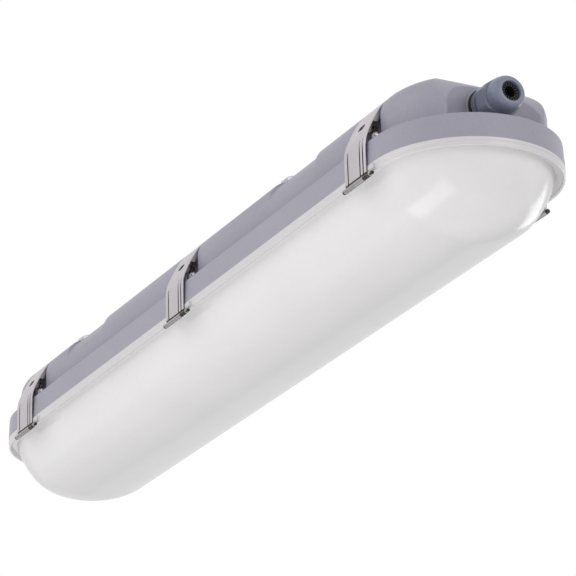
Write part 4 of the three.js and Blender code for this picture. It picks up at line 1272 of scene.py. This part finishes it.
@dataclass
class Latch:
    """One toggle latch in its own frame, where Y points out of the fixture, and its copies.

    Angles round the shoulder and round the roll are degrees. Painted shade is a share from none to all.
    """

    plan: Plan
    strap_width: float = 0.0258
    sheet: float = 0.001
    sheet_round: float = 0.00028
    sheet_sharp: float = math.radians(50)
    stand_off: float = 0.0007
    bend_drop: float = 0.003
    neck_height: float = 0.0036
    flange_depth: float = 0.0073
    roll_radius: float = 0.0016
    roll_steps: int = 40
    roll_soft: float = 0.0003
    roll_inset: float = 0.0012
    joggle: float = 0.0005
    roll_out: float = 0.0022
    roll_drop: float = 0.001
    rod_radius: float = 0.0012
    rod_soft: float = 0.0004
    rod_steps: int = 32
    wire_radius: float = 0.0011
    wire_steps: int = 6
    lug_end: float = 0.0166
    pin_head: float = 0.0013
    pin_rise: float = 0.0009
    pin_steps: int = 24
    pin_head_steps: int = 20
    bail_half: float = 0.0105
    pivot_out: float = 0.0014
    pivot_rise: float = 0.0118
    ear_middle: float = 0.008
    ear_thickness: float = 0.0012
    ear_radius: float = 0.0026
    ear_soft: float = 0.0002
    ear_steps: int = 12
    slot_length: float = 0.0076
    slot_width: float = 0.0048
    slot_steps: int = 10
    groove_width: float = 0.0015
    groove_depth: float = 0.0006
    groove_fade: float = 0.009
    grooves: tuple[Place, ...] = ((0.66, 0.0), (-0.48, 0.003), (-0.77, 0.003))
    fold_depth: float = 0.0026
    fold_thickness: float = 0.0008
    fold_root: float = 0.0006
    fold_inset: float = 0.00008
    # Painted shade on the strap: the seam over the roll, under the roll, the rest of the roll, the neck, the grooves
    # and the inner faces.
    seam: Place = (62, 120)
    shadow: Place = (-42, -18)
    roll_painted_shade: float = 0.28
    under_roll_painted_shade: float = 0.6
    fold_painted_shade: float = 0.65
    groove_painted_shade: float = 0.25
    groove_foot_painted_shade: float = 0.4
    unshaded_depth: float = 0.00018
    fold_gap: float = 0.0013
    wrap: tuple[Place, ...] = ((-8, 1.295), (8.6, 1.09), (22, 1.02), (38, 0.982), (54.5, 0.976))
    bend: tuple[Place, ...] = ((0, 0), (0.07, 0.23), (0.29, 0.5))
    bend_reach: float = 1.0
    bend_steps: int = 5
    ear_feet: Place = (0.08, 1.02)
    rod_reach: float = 0.0226
    stem_radius: float = 0.0009
    collar_radius: float = 0.00145
    collar_length: float = 0.0072
    highlight_ring_length: float = 0.0003
    head_length: float = 0.0012
    tip_radius: float = 0.0012
    tip_steps: int = 12

    @property
    def hook(self) -> Place:
        """The rod's axis, outwards and up."""
        return self.plan.rim_radius + self.roll_out, -self.flange_depth - self.roll_drop

    @property
    def lever_pivot(self) -> Place:
        """The lever's axis on the bail."""
        return self.plan.body_radius + self.pivot_out, self.plan.band_height + self.pivot_rise

    @property
    def face(self) -> float:
        """How far out the strap's straight face stands."""
        return self.plan.rim_radius + self.stand_off + self.sheet

    def at(self, along: float, place: Place) -> Vector:
        """A place in the latch's frame."""
        return Vector((along, place[0], self.plan.parting + place[1]))

    def wrap_places(self) -> list[Place]:
        """The strap's places over the shoulder."""
        plan = self.plan
        return [plan.shoulder(math.radians(turn), plan.shoulder_radius * (share - 1)) for turn, share in self.wrap]

    def bend_places(self) -> list[Place]:
        """The strap's places from its straight face to the shoulder."""
        start = (self.face - self.sheet / 2, self.plan.band_height - self.bend_drop)
        end = self.wrap_places()[0]
        return [(start[0] + (end[0] - start[0]) * out, start[1] + (end[1] - start[1]) * up) for out, up in self.bend]

    def strap_line(self) -> list[Place]:
        """The strap's middle line from the roll up over the shoulder, rounded."""
        neck = self.plan.rim_radius + CLEARANCE + self.sheet / 2
        face = self.face - self.sheet / 2
        low = self.hook[1]
        neck_top = low + self.neck_height
        foot = [(neck, low + self.roll_radius / 2), (neck, neck_top)]
        step = [(face, neck_top + self.joggle), (face, neck_top + self.roll_radius)]
        corners = [*foot, *step, *self.bend_places(), *self.wrap_places()]
        line = rounded([Vector(place) for place in corners], self.bend_reach, self.bend_steps)
        return [tuple(place) for place in line]

    def strap_sheet(self) -> Piece:
        """The bent sheet, with soft edges and rounded top corners."""
        half = self.strap_width / 2
        line = [self.at(-half, place) for place in self.strap_line()]
        piece = drawn("strap", line)
        with editing(piece, "EDGE"):
            bpy.ops.mesh.extrude_region_move(TRANSFORM_OT_translate={"value": (self.strap_width, 0, 0)})
        finished_by(piece, "SOLIDIFY", thickness=self.sheet, offset=0.0)
        with editing(piece):
            closed_up()
        return bevelled(piece, self.sheet_round, 3, self.sheet_sharp)

    def ear(self) -> Piece:
        """One pivot ear, its feet on the strap and its head round the pivot."""
        last, first = self.bend_places()[-1], self.wrap_places()[0]
        feet = [(last[0] + (first[0] - last[0]) * s, last[1] + (first[1] - last[1]) * s) for s in self.ear_feet]
        outline = [*feet, *arc(self.lever_pivot, self.ear_radius, QUARTER, 3 * QUARTER, self.ear_steps)]
        corners = [self.at(self.ear_middle - self.ear_thickness / 2, place) for place in outline]
        return bevelled(prism("ear", corners, Vector((self.ear_thickness, 0, 0))), self.ear_soft, 2)

    def slot_tool(self) -> Piece:
        """The round-ended slot through the strap, square to its slope."""
        last, (first, second) = self.bend_places()[-1], self.wrap_places()[:2]
        half, radius = (self.slot_length - self.slot_width) / 2, self.slot_width / 2
        right = arc((half, 0), radius, -QUARTER, QUARTER, self.slot_steps)
        left = arc((-half, 0), radius, QUARTER, 3 * QUARTER, self.slot_steps)
        tool = extruded("slot", [*right, *left], "Z", -OVERRUN, 2 * OVERRUN)
        lean = math.atan2(second[1] - last[1], last[0] - second[0])
        place = Matrix.Translation(self.at(0, first)) @ Matrix.Rotation(-lean, 4, "X")
        return copies_of(tool, "slot_tool", [place])[0]

    def outer_line(self, lift: float) -> list[Place]:
        """The strap's outer face from the roll up over the shoulder, moved out by a lift."""
        return moved(self.strap_line(), self.sheet / 2 + lift)

    def groove_tool(self, share: float, rise: float) -> Piece:
        """A pressed line down the strap's face, round in section.

        Args:
            share: Its place across the strap.
            rise: How far over the band it ends.

        Returns:
            The closed tool.
        """
        radius = self.groove_width / 2
        low, high = self.hook[1] + self.neck_height, self.plan.band_height + rise
        line = [place for place in self.outer_line(radius - self.groove_depth) if low <= place[1] <= high]
        return wire("groove", [self.at(share * self.strap_width / 2, place) for place in line], radius)

    def fold(self) -> Piece:
        """One edge of the strap's slope, folded towards the body."""
        start = self.wrap_places()[0][1]
        upper, lower = self.outer_line(-self.fold_root), self.outer_line(-self.sheet - self.fold_depth)
        count = sum(place[1] < start for place in upper)
        outline = [*upper[count:], *lower[count + 1:][::-1]]
        corners = [self.at(self.strap_width / 2 - self.fold_thickness, place) for place in outline]
        return prism("fold", corners, Vector((self.fold_thickness - self.fold_inset, 0, 0)))

    def shade_painted(self, piece: Piece) -> None:
        """Paints shade into the grooves, over and under the roll, along its seam, on the neck and inside the folds."""
        hook = Vector((0, *self.hook))
        neck_high = hook.z + self.neck_height + self.joggle / 2
        face = self.outer_line(0.0)
        painted_shade = piece.data.attributes.new("painted_shade", "FLOAT", "POINT")
        values = []
        for corner in piece.data.vertices:
            height = corner.co.z - self.plan.parting
            in_groove = any(
                abs(corner.co.x - share * self.strap_width / 2) < self.groove_width / 2 for share, _ in self.grooves
            )
            from_rod = Vector((0, corner.co.y, height)) - hook
            rise = math.degrees(math.atan2(from_rod.z, from_rod.y))
            depth = gap_to(face, Vector((corner.co.y, height)))
            # painted shade: darkest along the seam, shaded under the roll, a little darker elsewhere on the roll
            if from_rod.length < self.roll_radius + WELD:
                seam, shadow = (low < rise < high for low, high in (self.seam, self.shadow))
                values.append(1.0 if seam else self.under_roll_painted_shade if shadow else self.roll_painted_shade)
            # painted shade in the crease of the neck above the roll
            elif height < neck_high and corner.co.y > self.plan.rim_radius + self.sheet:
                values.append(1.0)
            # painted shade in the grooves, darker towards the band
            elif in_groove and depth > self.unshaded_depth:
                share = (self.plan.band_height - height) / self.groove_fade
                values.append(min(1.0, max(self.groove_painted_shade, share + self.groove_foot_painted_shade)))
            # painted shade on faces set back from the outer face, such as inside the folds
            else:
                values.append(self.fold_painted_shade if depth > self.fold_gap else 0.0)
        painted_shade.data.foreach_set("value", values)

    def lever(self) -> Piece:
        """The formed strap with its roll, ears, slot and grooves."""
        half, soft = self.strap_width / 2 - self.roll_inset, self.roll_soft
        end = arc((half - soft, self.roll_radius - soft), soft, QUARTER, 0, 3)
        roll = [(-half, 0), *[(-along, radius) for along, radius in end[::-1]], *end, (half, 0)]
        strap = self.strap_sheet()
        combined(strap, turned("roll", roll, self.roll_steps, self.at(0, self.hook)), Join.ADD)
        ear, fold = self.ear(), self.fold()
        other = placed_copy(ear, "ear_left", Matrix.Translation((-2 * self.ear_middle, 0, 0)))
        across = Matrix.Translation((self.fold_thickness + self.fold_inset - self.strap_width, 0, 0))
        folds = [fold, placed_copy(fold, "fold_left", across)]
        for pair in ([ear, other], folds):
            combined(strap, joined("pair", pair), Join.ADD)
        reach, span = self.strap_width / 2 + OVERRUN, (-self.bail_half, self.bail_half)
        rod, pin = self.rod_radius + CLEARANCE, self.wire_radius + CLEARANCE
        bore = round_bar("bore", (-reach, reach), rod, self.rod_steps, self.at(0, self.hook))
        pins = round_bar("pins", span, pin, self.pin_steps, self.at(0, self.lever_pivot))
        grooves = [self.groove_tool(share, rise) for share, rise in self.grooves]
        for tool in (bore, pins, self.slot_tool(), *grooves):
            combined(strap, tool, Join.TAKE)
        self.shade_painted(strap)
        return smoothed(strap)

    def bail(self, finishes: Finishes) -> Piece:
        """The bent wire from one lug to the other, with a round head at each end."""
        corners = [(-self.lug_end, self.plan.lug_pivot), (-self.bail_half, self.plan.lug_pivot),
                   (-self.bail_half, self.lever_pivot), (self.bail_half, self.lever_pivot),
                   (self.bail_half, self.plan.lug_pivot), (self.lug_end, self.plan.lug_pivot)]
        line = rounded([self.at(along, place) for along, place in corners], 2 * self.wire_radius, self.wire_steps)
        bow = wire("bow", line, self.wire_radius)
        heads = []
        dome = arc((0, 0), self.pin_head, QUARTER, 0, self.wire_steps)
        head = [(0.0, 0.0), (0.0, self.pin_head), *dome[1:]]
        squashed = [(along * self.pin_rise / self.pin_head, radius) for along, radius in head]
        for end in (-1, 1):
            profile = [(end * (self.lug_end + CLEARANCE / 2 + along), radius) for along, radius in squashed]
            piece = turned("pin_head", profile, self.pin_head_steps, self.at(0, self.plan.lug_pivot))
            piece.data.materials.append(finishes.bright_pin_and_highlight)
            heads.append(piece)
        bow.data.materials.append(finishes.dark_steel)
        return smoothed(joined("bail", [bow, *heads]))

    def hook_rod(self, finishes: Finishes) -> Piece:
        """The rod in the roll, with a collar and a ball tip at one end and a head at the other."""
        edge = self.strap_width / 2 - self.roll_inset + CLEARANCE
        collar_end = edge + self.collar_length
        tip = self.rod_reach - self.tip_radius
        soft = self.rod_soft
        neck = math.asin(self.stem_radius / self.tip_radius)
        ball = [(-x, r) for x, r in arc((tip, 0), self.tip_radius, 0, math.pi - neck, self.tip_steps)]
        profile = [
            (ball[0][0], 0.0),
            *ball[1:],
            (-collar_end, self.stem_radius),
            *[(-x, r) for x, r in arc((collar_end - soft, self.collar_radius - soft), soft, 0, QUARTER, 3)],
            (-edge, self.collar_radius),
            (-edge, self.rod_radius),
            (edge, self.rod_radius),
            (edge, self.collar_radius),
            *arc((edge + self.head_length - soft, self.collar_radius - soft), soft, QUARTER, 0, 3),
            (edge + self.head_length, 0.0),
        ]
        piece = turned("hook_rod", profile, self.rod_steps, self.at(0, self.hook))
        for material in (finishes.dark_steel, finishes.bright_pin_and_highlight, finishes.ball_tip):
            piece.data.materials.append(material)
        for face in piece.data.polygons:
            reach = -face.center.x
            if reach > tip - self.tip_radius:
                face.material_index = 2
            # painted highlight: a thin band of bright steel at the collar's end
            elif abs(reach - collar_end) < self.highlight_ring_length:
                face.material_index = 1
        return smoothed(piece)

    def dressed(self, finishes: Finishes) -> list[Piece]:
        """Builds one latch and copies it to the six places."""
        models = {
            "strap": (self.lever(), finishes.strap, "lever", "lever", "stainless_steel"),
            "wire": (self.bail(finishes), finishes.dark_steel, "bail", "bail", "dark_steel"),
            "rod": (self.hook_rod(finishes), finishes.dark_steel, "lever", "hook_rod", "dark_steel"),
        }
        pieces = []
        for latch, turn in self.plan.latch_turns().items():
            body = latch.removeprefix("latch_")
            for part, (model, finish, carrier, node, slot) in models.items():
                copy = placed_copy(model, f"{latch}_{part}", turn)
                pieces.append(fitted(copy, finish, f"{body}_{carrier}", slot, f"{latch}_{node}"))
        for model, *_ in models.values():
            bpy.data.objects.remove(model)
        return pieces


# Roof brackets


@dataclass
class RoofBrackets:
    """Steel strips over the roof, hooked into the shoulders."""

    plan: Plan
    rise: float = 0.0006
    sheet: float = 0.0022
    hole_radius: float = 0.0021
    hole_steps: int = 24
    soft: float = 0.0003
    steps: int = 8

    def outline(self) -> list[Place]:
        """The strip's section across the fixture."""
        plan = self.plan
        seat = self.rise - self.sheet
        lip_end = plan.lip_angle + plan.lip_thickness / plan.shoulder_radius

        def face(start: float, offset: float) -> list[Place]:
            """One face of the strip, from an angle up to the roof."""
            return [plan.shoulder(start + (QUARTER - start) * i / self.steps, offset) for i in range(self.steps + 1)]

        lip = [plan.shoulder(turn, seat - plan.lip_depth) for turn in (plan.lip_angle, lip_end)]
        half = [*face(plan.lip_angle, self.rise)[::-1], *lip, *face(lip_end, seat)]
        return half + [(-out, height) for out, height in half[::-1]]

    def dressed(self, finishes: Finishes) -> list[Piece]:
        """Builds both brackets."""
        pieces = []
        for number in (1, 2):
            node = f"ceiling_bracket_{number}"
            low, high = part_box(node)
            corners = [(out, self.plan.parting + height) for out, height in self.outline()]
            strip = extruded(f"roof_bracket_{number}", corners, "X", low.x, high.x - low.x)
            piece = bevelled(strip, self.soft, 2)
            rim = circle(((low.x + high.x) / 2, 0), self.hole_radius, self.hole_steps)
            depth = self.sheet + 2 * OVERRUN
            combined(piece, extruded("hole", rim, "Z", high.z - depth, 2 * depth), Join.TAKE)
            pieces.append(fitted(smoothed(piece), finishes.zinc, "fixture", "zinc_steel", node))
        return pieces


# Cable gland


@dataclass
class CableGland:
    """Washer, threaded body, seal with inner teeth, and the dome nut on the gland's axis.

    A turn of thread falls from its ridge to its root and rises again, at shares of its pitch.
    """

    plan: Plan
    steps: int = 64
    washer_radius: float = 0.0128
    washer_soft: float = 0.0005
    thread_radius: float = 0.0098
    thread_pitch: float = 0.0015
    thread_depth: float = 0.0005
    thread_shares: tuple[float, ...] = (0.3, 0.5, 0.8)
    bore_radius: float = 0.0066
    flange_radius: float = 0.0122
    flange_length: float = 0.0034
    neck_length: float = 0.002
    neck_radius: float = 0.0104
    across_flats: float = 0.024
    hex_turn: float = math.radians(34.5)
    corner_radius: float = 0.0132
    hex_length: float = 0.0113
    hex_soft: float = 0.0006
    chamfer: float = 0.0008
    groove: float = 0.0004
    dome_radius: float = 0.0114
    dome_start: float = 0.0152
    dome_trim: float = 0.0006
    dome_steps: int = 20
    nut_sharp: float = math.radians(24)
    mouth_radius: float = 0.0065
    mouth_rim: float = 0.0012
    mouth_depth: float = 0.0024
    cavity_radius: float = 0.0086
    tooth_bore: float = 0.0035
    tooth_root: float = 0.0052
    teeth: int = 16
    notch_share: float = 0.44
    notch_phase: float = 0.75
    notch_start: float = 0.0028
    soft: float = 0.0004

    def __post_init__(self) -> None:
        """Reads the places along the gland's axis from the frame."""
        self.axis = self.plan.gland_axis
        parts = ("washer", "body", "nut", "seal")
        self.washer_span, self.body_span, self.nut_span, self.seal_span = (span_of(f"gland_{part}") for part in parts)

    def ring(self, name: str, span: Place, inner: float, outer: float, soft: float) -> Piece:
        """A ring about the axis with soft outer edges."""
        start, end = span
        profile = [
            (start, inner),
            *arc((start + soft, outer - soft), soft, math.pi, QUARTER, 4),
            *arc((end - soft, outer - soft), soft, QUARTER, 0, 4),
            (end, inner),
        ]
        return turned(name, profile, self.steps, self.axis, ring=True)

    def washer(self) -> Piece:
        """The rubber washer under the flange."""
        inner = self.thread_radius + CLEARANCE
        return self.ring("gland_washer_ring", self.washer_span, inner, self.washer_radius, self.washer_soft)

    def barrel(self) -> Piece:
        """The body with its flange, neck and rolled thread."""
        start, end = self.body_span
        flange = self.washer_span[1] + CLEARANCE
        line, neck = flange + self.flange_length / 2, flange + self.flange_length
        nut = neck + self.neck_length - CLEARANCE
        soft, radius, pitch = self.soft, self.thread_radius, self.thread_pitch
        root, line_radius = radius - self.thread_depth, self.flange_radius - soft
        thread = []
        for i in range(int((flange - start - 2 * pitch) / pitch)):
            ridge = start + pitch * (i + 1)
            fallen, low, risen = (ridge + pitch * share for share in self.thread_shares)
            thread += [(ridge, radius), (fallen, root), (low, root), (risen, radius)]
        foot = [(start, self.bore_radius), (start, radius - soft), (start + soft, radius), *thread, (flange, radius)]
        rim = [(flange, self.flange_radius), (line, self.flange_radius), (line, line_radius),
               (line + soft, line_radius), (line + soft, self.flange_radius)]
        shoulder = [*arc((neck - soft, line_radius), soft, QUARTER, 0, 4), (neck, self.neck_radius + soft)]
        nose = [(neck + soft / 2, self.neck_radius), (nut, self.neck_radius), (nut, radius), (end, radius),
                (end, self.bore_radius)]
        return turned("gland_barrel", [*foot, *rim, *shoulder, *nose], self.steps, self.axis, ring=True)

    def hexagon(self) -> Piece:
        """The hexagonal stock of the nut."""
        start, end = self.nut_span
        corner = self.across_flats / math.sqrt(3)
        turns = [self.hex_turn + i * math.pi / 3 for i in range(6)]
        places = [(corner * math.cos(turn), corner * math.sin(turn)) for turn in turns]
        outline = [self.axis + Vector((start - OVERRUN, y, z)) for y, z in places]
        return bevelled(prism("hexagon", outline, Vector((end - start + 2 * OVERRUN, 0, 0))), self.hex_soft)

    def nut(self) -> Piece:
        """The dome nut: hexagon at its foot, round dome in front, open mouth."""
        start, end = self.nut_span[0], self.nut_span[1] - self.dome_trim
        dome_start = start + self.dome_start
        rim = self.mouth_radius + self.mouth_rim
        quarter = arc((0, 0), 1, 0, QUARTER, self.dome_steps)
        dome = [(dome_start + (end - dome_start) * along, rim + (self.dome_radius - rim) * out)
                for out, along in quarter]
        step, flat = start + self.hex_length, self.across_flats / 2
        stock = [(start, 0), (start, flat), (start + self.chamfer, self.corner_radius),
                 (step - self.chamfer, self.corner_radius), (step, flat)]
        cut = [(step, flat - self.groove), (step + self.groove, flat - self.groove),
               (step + self.groove, self.dome_radius)]
        outline = [*stock, *cut, *dome, (end, 0)]
        nut = turned("gland_cap", outline, self.steps, self.axis)
        combined(nut, self.hexagon(), Join.KEEP)
        thread, soft = self.thread_radius + CLEARANCE, self.soft
        nose = self.body_span[1]
        back = end - self.mouth_depth
        hollow = [(start - OVERRUN, 0), (start - OVERRUN, thread), (nose, thread), (nose, self.cavity_radius),
                  (back, self.cavity_radius), (back, self.mouth_radius), (end - soft, self.mouth_radius),
                  (end + OVERRUN, self.mouth_radius + OVERRUN), (end + OVERRUN, 0)]
        return combined(nut, turned("hollow", hollow, self.steps, self.axis), Join.TAKE)

    def seal(self) -> Piece:
        """The seal, with notches between its inner teeth."""
        start, end = self.seal_span
        seal = self.ring("gland_teeth", (start, end), self.tooth_bore, self.cavity_radius - CLEARANCE, self.soft)
        step = 2 * math.pi / self.teeth
        half = step * self.notch_share / 2
        tools = []
        for i in range(self.teeth):
            turn = step * (i + self.notch_phase)
            inner, outer = self.notch_start, self.tooth_root
            sector = [(inner, turn - half), (outer, turn - half), (outer, turn + half), (inner, turn + half)]
            corners = [self.axis + Vector((start - OVERRUN, r * math.cos(a), r * math.sin(a))) for r, a in sector]
            tools.append(prism("notch", corners, Vector((end - start + 2 * OVERRUN, 0, 0))))
        return combined(seal, joined("notches", tools), Join.TAKE)

    def dressed(self, finishes: Finishes) -> list[Piece]:
        """Builds the gland's visible pieces."""
        return [
            fitted(smoothed(self.washer()), finishes.gland_rubber, "fixture", "gland_rubber", "gland_washer"),
            fitted(smoothed(self.barrel()), finishes.gland, "fixture", "gland_grey", "gland_body"),
            fitted(smoothed(self.nut(), self.nut_sharp), finishes.gland, "dome_nut", "gland_grey", "gland_nut"),
            fitted(smoothed(self.seal()), finishes.gland_rubber, "fixture", "gland_rubber", "gland_seal"),
        ]


# Lamp gear, whose nodes keep their shape


@dataclass(frozen=True)
class LampGear:
    """The nodes inside the housing, which get better materials."""

    finishes: Finishes

    def insulation(self, name: str, colour: Colour) -> Material:
        """The glossy sleeve of one wire."""
        sleeve = MouldedPlastic(
            name, colour, roughness=0.35, variation=0.08, grain=0.0008, grain_depth=0.00002, flow=0.015
        )
        return sleeve.made()

    def dressed(self) -> list[str]:
        """Gives each node its finish, by the node's name.

        Returns:
            The names of the nodes.
        """
        finishes = self.finishes
        by_node = {
            "housing_gasket": finishes.foam,
            "gear_tray": finishes.white_paint,
            "led_board_near": finishes.board,
            "led_board_far": finishes.board,
            "led_driver": finishes.driver,
            "terminal_block": finishes.terminal,
            "gland_locknut": finishes.gland,
            "line_wire": self.insulation("brown_sleeve", (0.12, 0.05, 0.02)),
            "neutral_wire": self.insulation("blue_sleeve", (0.03, 0.1, 0.4)),
            "earth_wire": self.insulation("green_sleeve", (0.06, 0.3, 0.04)),
            "led_wire_positive": self.insulation("red_sleeve", (0.45, 0.03, 0.02)),
            "led_wire_negative": self.insulation("black_sleeve", (0.015, 0.015, 0.016)),
        }
        screws = [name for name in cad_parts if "screw" in name]
        for name, material in {**by_node, **{screw: finishes.zinc for screw in screws}}.items():
            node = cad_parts[name]
            node.data.materials.clear()
            node.data.materials.append(material)
        return [*by_node, *screws]


# Studio


@dataclass(frozen=True)
class SoftBox:
    """One lamp, with its place, its width and height, and its power."""

    name: str
    place: Vector
    size: Place
    power: float

    def lit(self) -> None:
        """Adds the lamp, which faces the fixture."""
        data = bpy.data.lights.new(self.name, "AREA")
        data.shape = "RECTANGLE"
        data.size, data.size_y = self.size
        data.energy = self.power
        lamp = bpy.data.objects.new(self.name, data)
        lamp.location = self.place
        lamp.rotation_mode = "QUATERNION"
        lamp.rotation_quaternion = (-self.place).to_track_quat("-Z", "Y")
        bpy.context.collection.objects.link(lamp)


@dataclass(frozen=True)
class Studio:
    """Camera at the photograph's angle, soft lamps, pale surroundings and a pale floor."""

    plan: Plan
    azimuth: float = math.radians(61.33)
    elevation: float = math.radians(-21.42)
    roll: float = math.radians(-1.98)
    lens: float = 204.39
    clip: Place = (0.05, 50)
    camera_place: Vector = Vector((1.8184, -0.9717, -0.7845))
    floor_drop: float = 2.4
    floor_size: float = 12.0
    floor_cloud: float = 0.8
    floor_low: Colour = (0.82, 0.82, 0.82)
    floor_high: Colour = (0.86, 0.86, 0.86)
    floor_roughness: float = 0.9
    floor_specular: float = 0.2
    ambient: float = 0.69
    white_rays: tuple[str, ...] = ("Camera", "Glossy", "Transmission")
    boxes: tuple[SoftBox, ...] = (
        SoftBox("sky_box", Vector((-0.4, -2.2, 1.2)), (1.6, 1.6), 8),
        SoftBox("strip_box", Vector((-0.19, -1.07, -1.68)), (2.8, 0.85), 16),
        SoftBox("low_box", Vector((-0.58, 1.89, -0.31)), (1.0, 0.8), 5.5),
        SoftBox("end_box", Vector((2.2, 0.5, 0.4)), (1.0, 1.0), 7),
    )

    def camera(self) -> None:
        """Sets up the camera."""
        data = bpy.data.cameras.new("camera")
        data.lens = self.lens
        data.clip_start, data.clip_end = self.clip
        camera = bpy.data.objects.new("camera", data)
        bpy.context.collection.objects.link(camera)
        level = math.cos(self.elevation)
        back = Vector((math.sin(self.azimuth) * level, -math.cos(self.azimuth) * level, math.sin(self.elevation)))
        camera.location = self.camera_place + Vector((0, 0, self.plan.parting))
        camera.rotation_mode = "QUATERNION"
        camera.rotation_quaternion = Quaternion(back, self.roll) @ (-back).to_track_quat("-Z", "Y")
        bpy.context.scene.camera = camera

    def surroundings(self) -> None:
        """White where the camera, gloss and glass look, and softer where it lights."""
        world = bpy.data.worlds.new("studio")
        world.use_nodes = True
        bpy.context.scene.world = world
        recipe = Recipe(world.node_tree)
        path = recipe.node("ShaderNodeLightPath", {})
        camera, gloss, glass = (Signal(recipe, path.outputs[f"Is {ray} Ray"]) for ray in self.white_rays)
        white = recipe.node("ShaderNodeBackground", {"Color": (1, 1, 1), "Strength": 1.0})
        soft = recipe.node("ShaderNodeBackground", {"Color": (1, 1, 1), "Strength": self.ambient})
        inputs = {0: camera + gloss + glass, 1: soft.outputs[0], 2: white.outputs[0]}
        mixed = recipe.node("ShaderNodeMixShader", inputs)
        recipe.node("ShaderNodeOutputWorld", {"Surface": mixed.outputs[0]})

    def floor(self) -> None:
        """A plain pale floor far under the ceiling."""
        bpy.ops.object.select_all(action="DESELECT")
        bpy.ops.mesh.primitive_plane_add(size=self.floor_size, location=(0, 0, -self.floor_drop))
        floor = bpy.context.object
        floor.name = "floor"
        with editing(floor, "FACE"):
            bpy.ops.mesh.subdivide(number_cuts=3)
        material, recipe = new_material("pale_floor")
        colour = recipe.blend(recipe.noise(self.floor_cloud, 3), self.floor_low, self.floor_high)
        inputs = {"Base Color": colour, "Roughness": self.floor_roughness, "Specular IOR Level": self.floor_specular}
        recipe.surface(inputs)
        floor.data.materials.append(material)

    def set_up(self) -> None:
        """Builds the whole studio."""
        bpy.context.scene.view_settings.view_transform = "Standard"
        self.camera()
        self.surroundings()
        self.floor()
        for box in self.boxes:
            box.lit()


def main() -> None:
    """Builds every sub-assembly in order."""
    logging.basicConfig(level=logging.INFO, format="%(name)s: %(message)s")
    plan = Plan.of_frame()
    finishes = Finishes()
    Studio(plan).set_up()
    log.info("housing: %s", Housing(plan).dressed(finishes).name)
    log.info("bowl: %s", OpalBowl(plan).dressed(finishes).name)
    for group in (Latch(plan), RoofBrackets(plan), CableGland(plan)):
        for piece in group.dressed(finishes):
            log.info("%s: %s", type(group).__name__, piece.name)
    for node in LampGear(finishes).dressed():
        log.info("gear: %s", node)


if __name__ == "__main__":
    main()
